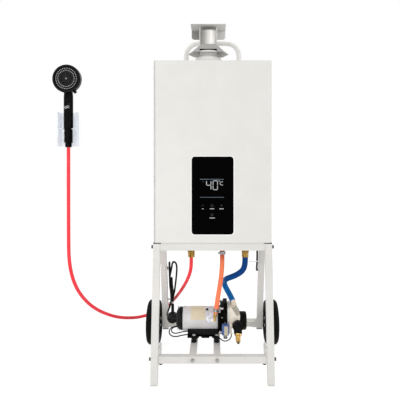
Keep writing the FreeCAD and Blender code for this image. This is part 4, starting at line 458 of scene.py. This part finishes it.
# ------------------------------------------------------------------ control panel
# A pane of black tempered glass with a black gasket in a thin white moulded surround. The display
# is pale grey: two digits, a temperature sign, ruled lines and faint touch marks.


def strips(name, chains, front_mm, thick_mm, material, body="trolley", place=at):
    """Flat raised marks. Each chain is (near, far) pairs of x and z points, closed where its ends meet."""
    maker = bmesh.new()
    back_mm = front_mm + thick_mm
    for chain in chains:
        closed = chain[0] == chain[-1]
        rows = []
        for near, far in chain[:-1] if closed else chain:
            corners = ((near, front_mm), (far, front_mm), (far, back_mm), (near, back_mm))
            rows.append([maker.verts.new(place(x, y, z)) for (x, z), y in corners])
        skinned(maker, rows, closed)
    return made(name, maker, material, body)


ARC_STEP = 12


def arc(x, z, radius, width, start=0, end=360):
    """The pairs of points of a ring or of a part of one in degrees, its width inwards."""
    count = max(6, int(abs(end - start) / ARC_STEP))
    turns = [math.radians(start + (end - start) * step / count) for step in range(count + 1)]
    chain = [((x + (radius - width) * math.cos(turn), z + (radius - width) * math.sin(turn)),
              (x + radius * math.cos(turn), z + radius * math.sin(turn))) for turn in turns]
    if end - start == 360:
        chain[-1] = chain[0]
    return chain


def stroke(x0, z0, x1, z1, width):
    """The pairs of points of a straight mark."""
    along = Vector((x1 - x0, z1 - z0)).normalized() * width / 2
    return [((x - along.y, z + along.x), (x + along.y, z - along.x)) for x, z in ((x0, z0), (x1, z1))]


# Tempered glass is deep black and mirror smooth, its shine held back so that it stays black. The
# moulded surround is the whitest piece of the front, with a soft sheen.
panel_glass = patterned("black_tempered_glass", "#020202", 0.06, "#030303", "#020202", 90, gloss=0.01)
dressed("control_panel", panel_glass, ease_mm=0.4)

white_trim = patterned("moulded_white_abs_surround", "#FAFAF9", 0.35, "#FDFDFC", "#F5F5F3", 40)


CORNER_X = 52.5
CORNER_LOW = 424.7
CORNER_HIGH = 634.9
CORNER_STEPS = 6
PRINT_FRONT_MM = -1.1
PRINT_THICK_MM = 0.3


def rounded_frame(inside_mm, outside_mm):
    """The pairs of points of a frame round the glass, between two corner radii."""
    chain = []
    for middle_x, middle_z, start in ((-CORNER_X, CORNER_LOW, 180), (CORNER_X, CORNER_LOW, 270),
                                      (CORNER_X, CORNER_HIGH, 0), (-CORNER_X, CORNER_HIGH, 90)):
        for step in range(CORNER_STEPS + 1):
            turn = math.radians(start + step * 90 / CORNER_STEPS)
            chain.append(tuple((middle_x + radius * math.cos(turn), middle_z + radius * math.sin(turn))
                               for radius in (inside_mm, outside_mm)))
    return chain + [chain[0]]


strips("panel_gasket", [rounded_frame(7.4, 9.2)], -0.75, 0.75, panel_glass)
strips("panel_surround", [rounded_frame(9.2, 11.6)], -0.7, 0.7, white_trim)

# Lit segments and screen print look matt on the glass.
pale_glow = patterned("lit_segment_display", "#B9BCBE", 0.4, "#BFC2C4", "#AFB2B5", 8, gloss=0.2)
blue_glow = patterned("blue_grey_printed_line", "#6F7E8C", 0.4, "#74838F", "#687785", 8, gloss=0.2)
faint_print = patterned("faint_screen_print", "#393C40", 0.4, "#3E4247", "#33363A", 8, gloss=0.2)

segment_tree, given = sockets("display_segments", Length="Float", Width="Float", Thickness="Float",
                              Ink="Material")
size = add(segment_tree, "ShaderNodeCombineXYZ", [("X", given["Length"]), ("Y", given["Thickness"]),
                                                  ("Z", given["Width"])])
lit_bar = add(segment_tree, "GeometryNodeMeshCube", [("Size", size.outputs[0])])
turned = add(segment_tree, "GeometryNodeInputNamedAttribute", data_type="FLOAT")
turned.inputs["Name"].default_value = "turned"
turn = add(segment_tree, "ShaderNodeCombineXYZ", [("Y", turned.outputs[0])])
lit = add(segment_tree, "GeometryNodeInstanceOnPoints",
          [("Points", given["Geometry"]), ("Instance", lit_bar.outputs[0]), ("Rotation", turn.outputs[0])])
sent_out(segment_tree, lit, given["Ink"])

# A segment's place in its digit from the lower left, and whether it stands upright.
SEGMENTS = {"a": (6.5, 26.5, 0), "b": (13, 20, 1), "c": (13, 7, 1), "d": (6.5, 0.5, 0), "e": (0, 7, 1),
            "f": (0, 20, 1), "g": (6.5, 13.5, 0)}
DIGITS = ((-17.9, "bcfg"), (1.4, "abcdef"))
DIGIT_FOOT_Z = 547
DIGIT_Y = -1
lit_points = []
lit_turns = []
for left, lit_segments in DIGITS:
    for segment in lit_segments:
        x, z, upright = SEGMENTS[segment]
        lit_points.append(at(left + x, DIGIT_Y, DIGIT_FOOT_Z + z))
        lit_turns.append(math.pi / 2 * upright)
digits_seed = bpy.data.meshes.new("digit_segments")
digits_seed.from_pydata(lit_points, [], [])
angles = digits_seed.attributes.new("turned", "FLOAT", "POINT")
for number, value in enumerate(lit_turns):
    angles.data[number].value = value
digits = grown("display_digits", segment_tree, digits_seed, "trolley", Length=0.0108, Width=0.0021,
               Thickness=0.0003, Ink=pale_glow)
degree = [arc(19.1, 573.2, 1.6, 0.9), arc(26.9, 565.9, 5.8, 1.6, 50, 310)]
rules = [stroke(-37, 578, 33, 578, 1.3), stroke(-37, 525.1, 33.5, 525.1, 1.0)]
words = [stroke(-31.4, 491.3, -26.6, 491.3, 1.9), stroke(-8.4, 491.3, 4.8, 491.3, 2.0),
         stroke(19.6, 491.3, 32.8, 491.3, 2.0), stroke(-9.2, 464.3, 6.8, 464.3, 2.0)]
marks = [stroke(-31.5, 501, -26, 501, 1.2), arc(-1.8, 501, 3.6, 1.1), stroke(23.2, 501, 29.2, 501, 1.2),
         stroke(26.2, 498, 26.2, 500.4, 1.2), stroke(26.2, 501.6, 26.2, 504, 1.2),
         arc(-1.8, 473.7, 3.8, 1.1, 125, 415), stroke(-1.8, 474.5, -1.8, 478.5, 1.1),
         arc(-28.2, 570.9, 1.8, 1.5)]
for name, chains, ink in (("display_degrees", degree, pale_glow), ("display_rules", rules, blue_glow),
                          ("panel_touch_words", words, pale_glow), ("panel_touch_marks", marks, faint_print)):
    strips(name, chains, PRINT_FRONT_MM, PRINT_THICK_MM, ink)


# ------------------------------------------------------------------ works, unions and brass parts
# The cast works behind the cover only need their outlines. The unions, the gas inlet, the pump's
# nipple and the gas hose's tail are turned brass with knurls.

# Cast aluminium has a warm grey glint with cloudy patches.
plain_casting = patterned("cast_aluminium_works", "#9A968F", 0.5, "#A5A199", "#88847D", 10, metallic=1.0)
for part in ("heat_exchanger", "burner", "gas_valve"):
    dressed(part, plain_casting, ease_mm=0)


def streaked(name, light, dark, streak_mm):
    """Turned brass: upright streaks where its facets and knurls catch the light or lose it."""
    material, tree, shader = finish(name, light, 0.28, metallic=1.0)
    streaks = mottled(tree, shader, light, dark, streak_mm, 1.0)
    place = add(tree, "ShaderNodeTexCoord")
    upright = add(tree, "ShaderNodeMapping", [("Vector", place.outputs["Object"])], Scale=(1, 1, 0.15))
    tree.links.new(upright.outputs["Vector"], streaks.inputs["Vector"])
    return material


# The unions have the deep yellow of plain brass. The nipple and the tail take a lighter copy of it, a painted
# highlight.
yellow_brass = streaked("turned_brass", "#B8914A", "#5F431A", 3.4)
polished_brass = streaked("polished_brass", "#E6C17A", "#8F6A2C", 5.0)
for part in ("water_valve", "water_unions", "gas_inlet"):
    dressed(part, yellow_brass, ease_mm=0.3)
for part in ("inlet_nipple", "gas_hose_tail"):
    dressed(part, polished_brass, ease_mm=0.3)

stud_tree, given = sockets("studs_in_a_ring", Count="Int", Ring_Radius="Float", Stud_Radius="Float",
                           Tip_Radius="Float", Height="Float", Place="Vector", Turn="Rotation",
                           Skin="Material")
ring_points = add(stud_tree, "GeometryNodeMeshCircle",
                  [("Vertices", given["Count"]), ("Radius", given["Ring Radius"])])
stud = add(stud_tree, "GeometryNodeMeshCone", Vertices=8,
           links=[("Radius Top", given["Tip Radius"]), ("Radius Bottom", given["Stud Radius"]),
                  ("Depth", given["Height"])])
studs = add(stud_tree, "GeometryNodeInstanceOnPoints",
            [("Points", ring_points.outputs[0]), ("Instance", stud.outputs[0])])
placed = add(stud_tree, "GeometryNodeTransform",
             [("Geometry", studs.outputs[0]), ("Translation", given["Place"]), ("Rotation", given["Turn"])])
sent_out(stud_tree, placed, given["Skin"])


def ring_of_studs(name, place, turn, skin, count, ring, stud, tip, height, body="trolley"):
    """Studs in a ring round a place, on an axis turned from upright. All their sizes are in millimetres."""
    seed = bpy.data.meshes.new(name)
    return grown(name, stud_tree, seed, body, Count=count, Ring_Radius=ring / 1000, Stud_Radius=stud / 1000,
                 Tip_Radius=tip / 1000, Height=height / 1000, Place=at(*place),
                 Turn=[math.radians(angle) for angle in turn], Skin=skin)


for name, x in (("hot_union_knurl", -66), ("cold_union_knurl", 101)):
    knurl = ring_of_studs(name, (x, 75, 352.8), (0, 0, 0), yellow_brass, count=30, ring=11.1, stud=0.7,
                          tip=0.7, height=5.8)
nipple_end = (77, 28.8, 88.8)
flare = ring_of_studs("nipple_flare", nipple_end, (150, 0, 0), polished_brass, count=24, ring=4.8, stud=1.1,
                      tip=1.1, height=2)
# A black plug in the nipple's end is painted shade inside its bore.
mouth = ring_of_studs("nipple_mouth", nipple_end, (150, 0, 0), hub_plastic, count=3, ring=0.3, stud=3.4,
                      tip=3, height=5.6)
dressed("control_box", hub_plastic, ease_mm=0)

# A soft PVC jacket has a low, even sheen.
black_rubber = patterned("black_pvc_cord_jacket", "#0C0C0D", 0.4, "#0F0F10", "#090909", 15, gloss=0.15)
dressed("cord_grommet", black_rubber, ease_mm=0.2)


# ------------------------------------------------------------------ flue
# A pressed collar, a folded draught hood, a bright pipe and a rain cap on two riveted straps.
# Painted shade darkens the pipe's left side and the cap's under side and flap, and the pipe has a painted
# highlight.

# The flue's paint is satin, and duller on the hood's downward faces and on the cap's under side and flap.
collar_coat = powder_coat("white_painted_collar", "#E2E1DE", "#D8D7D4", 0.4)
grey_coat = powder_coat("grey_painted_hood", "#AAA8A5", "#9F9D9A", 0.4)


def across(tree, shader, left_mm, right_mm, *stops):
    """Let the colour run from left to right through stops."""
    place = add(tree, "ShaderNodeTexCoord")
    parts = add(tree, "ShaderNodeSeparateXYZ", [("Vector", place.outputs["Object"])])
    share = add(tree, "ShaderNodeMapRange", [("Value", parts.outputs["X"])], From_Min=at(left_mm, 0, 0).x,
                From_Max=at(right_mm, 0, 0).x)
    toned(tree, shader, share.outputs[0], *stops)


CAP_LEFT = -66
CAP_RIGHT = 40
CAP_UNDER_Z = 1040
CAP_FLAP_Y = 110
PIPE_LEFT = -37
PIPE_RIGHT = 11
cap_coat = powder_coat("grey_painted_rain_cap", "#ECEBE9", "#DFDEDC", 0.4)
dressed("flue_collar", collar_coat, ease_mm=0.4)
# The hood is lighter on its downward faces.
under_coat = powder_coat("dusty_under_slope_of_the_hood", "#D2D0CD", "#C6C4C1", 0.5)
hood = dressed("flue_diverter", grey_coat, ease_mm=0.3)
repaint(hood, under_coat, lambda x, y, z, normal: normal.z < -0.2 and normal.y < 0.3)
# The cap's under side and flap are painted in shade, darker to the left.
cap_under_shade_coat, tree, shader = finish("smoked_under_side_of_the_cap", "#C8C7C4", 0.5, gloss=0.3)
across(tree, shader, CAP_LEFT, CAP_RIGHT, (0, "#C1C0BD"), (1, "#CFCECB"))
flap_shade_coat, tree, shader = finish("smoked_flap_of_the_cap", "#B8B7B4", 0.5, gloss=0.3)
across(tree, shader, CAP_LEFT, CAP_RIGHT, (0, "#969492"), (1, "#DEDDDA"), (0.3, "#969492"), (0.7, "#DEDDDA"))
cap = dressed("rain_cap", cap_coat, ease_mm=0.3)
repaint(cap, cap_under_shade_coat, lambda x, y, z, normal: normal.z < -0.8 and z > CAP_UNDER_Z)
repaint(cap, flap_shade_coat, lambda x, y, z, normal: normal.y < -0.8 and y > CAP_FLAP_Y)


HOOD_FRONT_Y = 35
HOOD_FOOT_Z = 962
HOOD_SLOPE = 14 / 27


def on_hood(x, y, z):
    """A place on the hood's sloping front, as far behind it as y says."""
    return at(x, y + HOOD_FRONT_Y + (z - HOOD_FOOT_Z) * HOOD_SLOPE, z)


HOOD_CUT = ((-39, -1.6), (-33, 0.2), (-26, 1.4), (-19, 2.1), (-13, 2.3), (-7, 2.1), (0, 1.4), (7, 0.2),
            (13, -1.6))
gap = [((x, 965.6 + rise), (x, 971.6)) for x, rise in HOOD_CUT]
strips("dark_gap_under_the_hood", [gap], -0.5, 0.5, hub_plastic, place=on_hood)
lip = [((x, 962.3), (x, 965.5 + rise)) for x, rise in HOOD_CUT]
strips("collar_lip_under_the_hood", [lip], -0.5, 0.5, collar_coat, place=on_hood)
# Stainless steel is brushed in fine level lines, drawn coarser here than they are so that they show.
BRUSHING = (3.0, 0.01, (0.05, 0.05, 1))
bright_steel, tree, shader = finish("brushed_stainless_flue", "#BBB9B5", 0.42, metallic=1.0)
rough_skin(tree, shader, *BRUSHING)
# The pipe is painted darker on its left side and brighter right of its middle: painted shade and a painted
# highlight.
pipe_steel_painted_shade, tree, shader = finish("brushed_stainless_pipe", "#BBB9B5", 0.6, metallic=1.0)
rough_skin(tree, shader, *BRUSHING)
across(tree, shader, PIPE_LEFT, PIPE_RIGHT, (0, "#93918D"), (1, "#C9C7C3"), (0.35, "#B5B3AF"),
       (0.68, "#F6F4F1"))
dressed("flue_pipe", pipe_steel_painted_shade, ease_mm=0.2)
for name, x, turn in (("left_strap_rivets", -37.6, -90), ("right_strap_rivets", 11.6, 90)):
    rivets = ring_of_studs(name, (x, 75, 1020), (0, turn, 0), bright_steel, count=3, ring=3, stud=1.5, tip=1,
                           height=1.4)


# ------------------------------------------------------------------ pump
# A diaphragm pump: painted motor can with its label, ribbed end cap and saddle, and a bolted
# head of cast metal with its ports and its blue pressure switch.

# Silver paint is smooth and bright. Black plastic is satin and dull where glass filled. The grey of
# the end cap's ribs is a painted highlight, and the zinc of the pump's bolts is painted lighter as painted
# light.
can_paint = powder_coat("silver_painted_motor_can", "#DDDBDB", "#D3D1D1", 0.28)
dressed("motor_can", can_paint, ease_mm=0.4)
rib_highlight_plastic = patterned("worn_black_polypropylene", "#2A2A2A", 0.4, "#363636", "#161616", 8, gloss=0.2)
for part in ("motor_end_cap", "pump_base"):
    dressed(part, hub_plastic, ease_mm=0.8)
flange_plastic = patterned("glass_filled_black_nylon", "#0C0B0A", 0.5, "#12110F", "#080807", 7,
                           grain=(1.0, 0.02), gloss=0.02)
dressed("pump_flange", flange_plastic, ease_mm=0.8)
dressed("pump_feet", black_rubber, ease_mm=0.8)
# The pump's bolts and the switch stem are painted lighter than their zinc, as painted light.
zinc_painted_light = patterned("white_zinc_plated_bolts", "#DEDEDC", 0.4, "#E4E4E2", "#D2D2D0", 4, metallic=0.4)
dressed("pump_bolts", zinc_painted_light, ease_mm=0.3)


CAN_RADIUS = 37.5
CAN_Y = 100
CAN_Z = 137
WRAP_STEPS = 24


def wrapped(name, left, right, start, end, thick, material, radius=CAN_RADIUS):
    """A thin sheet wrapped on the motor, from start to end in degrees from the top towards the front."""
    rows = []
    maker = bmesh.new()
    for step in range(WRAP_STEPS + 1):
        turn = math.radians(start + (end - start) * step / WRAP_STEPS)
        y, z = -math.sin(turn), math.cos(turn)
        rows.append([maker.verts.new(at(x, CAN_Y + y * reach, CAN_Z + z * reach))
                     for x, reach in ((left, radius - 0.1), (right, radius - 0.1), (right, radius + thick),
                                      (left, radius + thick))])
    skinned(maker, rows)
    for face in maker.faces:
        face.smooth = True
    piece = made(name, maker, material)
    piece.data.set_sharp_from_angle(angle=math.radians(35))
    return piece


# Laminated paper has a faint sheen. The film is creased, and its bright and dark patches are painted
# reflections.
cream_paper = patterned("cream_laminated_paper", "#E2D5B8", 0.45, "#E6DABF", "#D9CCAE", 18)
wrapped("blank_motor_label", -67, -23.5, -28, 79, 0.25, cream_paper)
wrapped("motor_can_band_left", -91.5, -88.5, -175, 175, 0.5, can_paint)
wrapped("motor_can_band_right", 8, 11, -175, 175, 0.5, can_paint)
wrapped("can_lock_tab", -20.5, -13.5, 22, 34, 0.8, hub_plastic)
film_painted_reflections = patterned("crinkled_silver_polyester_film", "#DEDEE3", 0.4, "#FAFAFC", "#B3B4C4", 7,
                          detail=1.5, grain=(12, 0.8), metallic=0.35)
wrapped("silver_film_patch", -19, 5, 44, 92, 0.25, film_painted_reflections)
RIB_RADIUS = 36
RIB_WIDTH = 1.6
# The ribs' grey is a painted highlight on the end cap's edges.
for number, left in enumerate((-108.5, -103.5, -98.5)):
    rib = wrapped("end_cap_rib_%d" % (number + 1), left, left + RIB_WIDTH, -170, 170, 0.6, rib_highlight_plastic,
                  RIB_RADIUS)
for name, x, z in (("flange_screw_high", 29, 154), ("flange_screw_low", 38.5, 139)):
    screw = ring_of_studs(name, (x, 51.4, z), (90, 0, 0), bright_zinc, count=3, ring=0.5, stud=2.2, tip=1.4,
                          height=1.6)

# Die-cast metal is pale and grainy and smoother on its machined seam. Its bevel is darker with painted shade.
HEAD_SEAM_X = 51.2
PORT_METAL_Z = 172
cast_head = patterned("die_cast_pump_head", "#F7ECDC", 0.45, "#FBF2E4", "#EFE3D2", 9, grain=(1.0, 0.03),
                      metallic=0.05)
seam_metal = patterned("machined_seam_of_the_head", "#EEEDEA", 0.3, "#F1F0ED", "#E4E2DD", 6, metallic=0.1)
bevel_metal = patterned("shaded_cast_bevel", "#ADA798", 0.45, "#B8B2A3", "#969080", 5, grain=(1.0, 0.03),
                        metallic=0.2)
ports = dressed("port_fittings", hub_plastic, ease_mm=0.8)
repaint(ports, cast_head, lambda x, y, z, normal: z > PORT_METAL_Z)
head = dressed("valve_housing", cast_head, ease_mm=1.0)
repaint(head, seam_metal, lambda x, y, z, normal: x < HEAD_SEAM_X)
repaint(head, bevel_metal, lambda x, y, z, normal: x >= HEAD_SEAM_X and normal.z > 0.25 and normal.x > 0.25)

# The switch's case is dull blue and its label beige paper. Moulded nylon is white with a soft sheen.
switch_blue = patterned("moulded_blue_switch_case", "#4D669C", 0.4, "#546DA3", "#435B8F", 8, gloss=0.3)
dressed("pressure_switch", switch_blue, ease_mm=0.8)
beige_paper = patterned("beige_switch_label", "#C9BEA9", 0.5, "#D0C6B2", "#BDB29D", 5)
bar("blank_switch_label", (34.8, 34.7, 105.5), (46.4, 35.2, 133), beige_paper, 0.1)
bar("switch_screw_cap", (33, 38, 94.8), (45.2, 44, 98.6), hub_plastic, 0.9)
bar("switch_stem", (36.5, 39.5, 98), (41.5, 43.5, 100.6), zinc_painted_light, 0.3)
white_nylon = patterned("moulded_white_nylon", "#E9E9E6", 0.4, "#EEEEEB", "#E0E0DC", 6)
dressed("cable_ties", white_nylon, ease_mm=0.15)


# ------------------------------------------------------------------ hoses
# Water hoses with a coloured PVC skin, and a soft rubber gas hose with worm clamps. Each is one
# smooth length from its port to its end.


LAY_DETAIL = 10


def flexible(name, points, radius_mm, material):
    """One length of hose or cord on a smooth line through its lay."""
    data = bpy.data.curves.new(name, "CURVE")
    data.dimensions = "3D"
    line = data.splines.new("NURBS")
    line.points.add(len(points) - 1)
    for point, place in zip(line.points, points):
        point.co = (*at(*place), 1)
    line.order_u = 3
    line.use_endpoint_u = True
    line.resolution_u = LAY_DETAIL
    data.resolution_u = LAY_DETAIL
    data.bevel_depth = radius_mm / 1000
    data.bevel_resolution = 6
    data.use_fill_caps = True
    data.materials.append(material)
    piece = bpy.data.objects.new(name, data)
    bpy.context.scene.collection.objects.link(piece)
    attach(piece, "trolley")
    return piece


def hose_skin(name, light, dark, roughness, gloss, turn_low=0.0, turn_high=1.0, above=None):
    """Soft skin whose colour wanders a little, and gives way to another colour above a height."""
    material, tree, shader = finish(name, light, roughness, gloss=gloss)
    mottled(tree, shader, light, dark, 40)
    rough_skin(tree, shader, 1.5, 0.01)
    if above:
        under = shader.inputs["Base Color"].links[0].from_socket
        place = add(tree, "ShaderNodeTexCoord")
        height = add(tree, "ShaderNodeSeparateXYZ", [("Vector", place.outputs["Object"])])
        level = add(tree, "ShaderNodeMapRange", [("Value", height.outputs["Z"])], From_Min=turn_low,
                    From_Max=turn_high)
        blend = add(tree, "ShaderNodeMix", data_type="RGBA")
        tree.links.new(level.outputs[0], blend.inputs[0])
        tree.links.new(under, blend.inputs[6])
        blend.inputs[7].default_value = linear(above)
        tree.links.new(blend.outputs[2], shader.inputs["Base Color"])
    return material


shower_lay = [
    (-66, 75, 335), (-66, 75, 308), (-70, 84, 285), (-78, 101, 262), (-88, 128, 238), (-100, 163, 213),
    (-113.8, 211, 185), (-128.4, 253, 159), (-147, 293, 130), (-172, 326, 101), (-207, 359, 75),
    (-243, 358, 64), (-271, 334, 64), (-295, 303, 72), (-316, 271, 83), (-338, 238, 98), (-358, 208, 116),
    (-378, 178, 137), (-396, 147, 163), (-411, 115, 195), (-423, 84, 233), (-431, 60, 276),
    (-435.8, 46, 326), (-436.7, 42, 384), (-436.7, 42, 674)]
gas_lay = [
    (30, 75, 373), (30, 75, 330), (29, 71, 300), (25.5, 62, 270), (20.5, 53, 241), (15, 47, 212),
    (12.9, 44.5, 193.5), (8.9, 42, 171.5)]
water_lay = [
    (101, 75, 335), (101, 75, 313), (95, 80, 293), (77, 85, 278), (58, 90, 269), (44, 103, 261),
    (38, 122, 250), (38, 137, 235), (45, 138, 219), (55, 121, 206), (64, 98, 191)]

# PVC shines softly and rubber hardly. The orange and the blue hose are darker at their upper ends, painted
# shade under the casing.
red_skin = hose_skin("red_pvc_shower_hose", "#FF4550", "#FA3B46", 0.3, 0.2)
shower_hose = flexible("shower_hose_run", shower_lay, 5.5, red_skin)
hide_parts("shower_hose")

orange_skin = hose_skin("orange_rubber_gas_hose", "#FF865A", "#FA7D50", 0.4, 0.3, 0.318, 0.350, "#B93A18")
gas_hose = flexible("gas_hose_run", gas_lay, 7, orange_skin)
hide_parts("gas_hose")

blue_skin = hose_skin("blue_pvc_water_hose", "#0C6BB4", "#0963AA", 0.3, 0.1, 0.235, 0.275, "#003E84")
water_hose = flexible("water_hose_run", water_lay, 9, blue_skin)
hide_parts("water_hose")

# The clamps' steel strip has a grey glint.
clamp_steel = patterned("stainless_worm_clamp", "#8F8F90", 0.3, "#9A9A9B", "#7A7A7C", 5, metallic=1.0)
dressed("hose_clamps", clamp_steel, ease_mm=0.2)


# ------------------------------------------------------------------ cords
# Round black PVC cords. The pump's and the heater's are folded and tied, each with its plug. The
# pump's hank leans with the rear leg that it hangs beside.


HANK_FOOT = (-132, 232.43, 150)
LEG_UP = 0.9604
LEG_LEAN = 0.2785


def leaned(u, w, v):
    """A place in the pump's hank: across, front to back, and up along the leaning leg."""
    x, y, z = HANK_FOOT
    return (x + u, y + w * LEG_UP - v * LEG_LEAN, z + w * LEG_LEAN + v * LEG_UP)


pump_lay = [
    (-113, 100, 140), (-131, 102, 139), (-143, 115, 138), (-147, 138, 137), (-147, 160, 138),
    (-145, 181, 142), (-142, 198, 150), (-140, 210, 163), (-139, 219, 180)]
pump_lay += [leaned(*place) for place in (
    (-12, -5.5, 54), (-12.5, -5.5, 88), (-12.5, -5.5, 132), (-12.5, -5.5, 150), (-12.5, 5.5, 150),
    (-12.5, 5.5, 132), (-12.5, 5.5, 92), (-12, 5.5, 52), (-11, 5, 26), (-10, 5, 5), (-3, -5, 5),
    (-2, -5, 26), (2.5, -5, 42), (6, -5, 68), (9.8, -5, 98), (12.4, -4.5, 127), (11.5, -4, 147),
    (4, -3, 155), (-2, -1.5, 151), (-5, -0.5, 134), (-8, 0, 118), (-12, 0, 100), (-12, 0, 80),
    (-10.5, 0, 54), (-10, -1, 32), (-10, -3.5, 14), (-3, 5.5, 14), (-3, 5.5, 32), (-5, 5.5, 54),
    (-6, 5.5, 74), (-6, 5.5, 92), (-6, -5.5, 92), (-6, -5.5, 74), (-5.5, -5.5, 52), (-7.5, -5, 26),
    (-7.5, -4.5, 8), (-7.5, -3, -5))]
pump_lay += [(-137.6, 226.5, 139), (-136.5, 224.7, 128)]
pump_cord = flexible("pump_cord_run", pump_lay, 3, black_rubber)
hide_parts("pump_cord", "pump_cord_hank")
dressed("pump_plug", black_rubber, ease_mm=0.6)


SLEEVE_STEPS = 12
SLEEVE_SIDES = 20
SLEEVE_GROOVE = 0.5


def tapered(name, place, along, near_mm, far_mm, length_mm, material):
    """A ribbed sleeve that narrows from a housing on to its cord, between two radii."""
    along = Vector(along).normalized()
    side = along.orthogonal().normalized()
    other = along.cross(side)
    maker = bmesh.new()
    rows = []
    for step in range(SLEEVE_STEPS + 1):
        reach = near_mm + (far_mm - near_mm) * step / SLEEVE_STEPS - (SLEEVE_GROOVE if step % 2 else 0)
        centre = at(*place) + along * length_mm * step / (SLEEVE_STEPS * 1000)
        rows.append([maker.verts.new(centre + (side * math.cos(turn) + other * math.sin(turn)) * reach / 1000)
                     for turn in (math.tau * part / SLEEVE_SIDES for part in range(SLEEVE_SIDES))])
    for face in skinned(maker, rows):
        face.smooth = True
    return made(name, maker, material)


sleeve = tapered("pump_cord_sleeve", (-112.5, 100, 140), (-18, 2, -1), 6, 3.5, 20, black_rubber)

HEATER_HANK_FOOT = (87, 192, 430)
HANK_LAYERS = (-5, 0, 5)
HANK_TURN = ((-7, 55), (-8, 75), (-14, 108), (-9, 122), (9, 122), (14, 108), (8, 75), (8, 55), (14, 22),
             (9, 8), (-9, 8), (-14, 22))
HANK_WAIST = 55
HANK_CROSSING = 1.6
heater_lay = [
    (143, 130, 389), (143, 130, 365), (144, 136, 338), (145, 148, 312), (146, 168, 288), (147, 193, 270),
    (151, 219, 261), (161, 237, 265), (168, 243, 285), (168, 236, 312), (162, 225, 341), (147, 214, 366),
    (125, 205, 384), (102, 200, 401), (86, 193, 437)]
x, y, z = HEATER_HANK_FOOT
for layer in HANK_LAYERS:
    for u, v in HANK_TURN:
        behind = HANK_CROSSING if v < HANK_WAIST and u < 0 else 0
        heater_lay.append((x + u, y + layer + behind, z + v))
heater_lay += [(81, 194, 485), (81, 194, 505), (86, 193, 545), (87, 192, 562), (87, 192, 580)]
heater_cord = flexible("heater_cord_run", heater_lay, 3, black_rubber)
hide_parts("heater_cord", "heater_cord_hank")
dressed("heater_plug", black_rubber, ease_mm=0.6)
hank_band = ring_of_studs("heater_hank_tie", (87, 192, 495), (0, 0, 0), white_nylon, count=40, ring=12.8,
                          stud=1.1, tip=1.1, height=4.5)
tie_tail = bar("heater_cord_tie_tail", (117, 144.4, 305.2), (143, 145.4, 307.2), white_nylon, 0.3)
cord_band = ring_of_studs("heater_cord_tie", (145, 149.6, 308), (28, 0, 0), white_nylon, count=20, ring=3.6,
                          stud=0.7, tip=0.7, height=3.2)

lead_lay = [(-109, 82, 118), (-124, 80, 117), (-135, 80, 108), (-135, 79, 95), (-126, 78, 88), (-111, 77, 87),
            (-97, 76, 92), (-75.5, 75, 95)]
motor_lead = flexible("motor_lead_run", lead_lay, 1.8, black_rubber)
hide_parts("motor_lead")
inner_lead = [(-109, 78, 118), (-119, 76, 118), (-128, 76, 111), (-127, 75, 102), (-117, 74, 98),
              (-103, 73, 101), (-90, 72, 105), (-76, 72, 106)]
flexible("motor_lead_second", inner_lead, 1.7, black_rubber)
switch_lead = [(12, 47, 101), (19, 43, 97.5), (26, 40.5, 91.5), (35.5, 39.5, 86.8), (46, 40, 88.5),
               (54, 42.5, 94), (58, 47, 103), (58.5, 51, 110)]
flexible("switch_lead", switch_lead, 1.6, black_rubber)


# ------------------------------------------------------------------ hand shower and its bracket
# A hand shower of glossy black ABS with a turning spray face and a sliding button, resting in a
# bracket of milky polycarbonate. Soft grey nubs of silicone ring the nozzles.

# Glossy ABS is nearly a black mirror, the disc round the nozzles is satin, and silicone is dull.
black_abs = patterned("glossy_black_abs", "#020202", 0.16, "#030303", "#010101", 60, gloss=0.07)
dressed("handset", black_abs, ease_mm=0.8)
satin_black = patterned("satin_black_spray_disc", "#121214", 0.35, "#161618", "#0E0E10", 9, gloss=0.12)
SPRAY_X = -436.7
SPRAY_Z = 878
DISC_RADIUS = 21.5
face = dressed("spray_face", black_abs, "spray_dial", 0.15)
repaint(face, satin_black,
        lambda x, y, z, normal: normal.y < -0.8 and math.hypot(x - SPRAY_X, z - SPRAY_Z) < DISC_RADIUS)
grey_silicone = patterned("moulded_grey_silicone_nubs", "#B0B0B1", 0.55, "#B9B9BA", "#A3A3A4", 3)
for name, count, ring, y in (("outer_nozzle_nubs", 36, 30.6, 19.6), ("middle_nozzle_nubs", 30, 24.4, 18.9),
                             ("middle_spray_nub", 5, 1.3, 18.4)):
    nubs = ring_of_studs(name, (SPRAY_X, y, SPRAY_Z), (90, 0, 0), grey_silicone, count, ring, stud=1.5,
                         tip=1.2, height=1.6, body="spray_dial")
jets = ring_of_studs("inner_spray_jets", (SPRAY_X, 18.6, SPRAY_Z), (90, 0, 0), black_abs, count=9, ring=14.5,
                     stud=1.8, tip=1.4, height=1.2, body="spray_dial")
# Black chrome is dark and smooth, and the mark on it is a paler satin plate.
dark_chrome = patterned("black_chrome_slider", "#19191A", 0.25, "#1D1D1E", "#141415", 6, metallic=0.5)
dressed("flow_button", dark_chrome, "flow_slider", 0.6)
slider_chrome = patterned("satin_plated_slider_mark", "#9A9A9C", 0.35, "#A2A2A4", "#8E8E90", 3, metallic=1.0)
lobes = [arc(-440.3, 792.4, 3.6, 1.5), arc(-433.5, 794.6, 3.6, 1.5)]
strips("slider_grip_mark", lobes, 25.6, 0.6, slider_chrome, "flow_slider")
# Milky polycarbonate is clouded and pale. It bends light less here than the clear kind does, because
# its thin strips would look dark otherwise.
milky, tree, shader = finish("milky_polycarbonate", "#F8FAFF", 0.35, ior=1.03, coat=0.25)
mottled(tree, shader, "#FAFCFF", "#F0F4FC", 40)
shader.inputs["Transmission Weight"].default_value = 0.7
dressed("shower_bracket", milky, ease_mm=0.6)
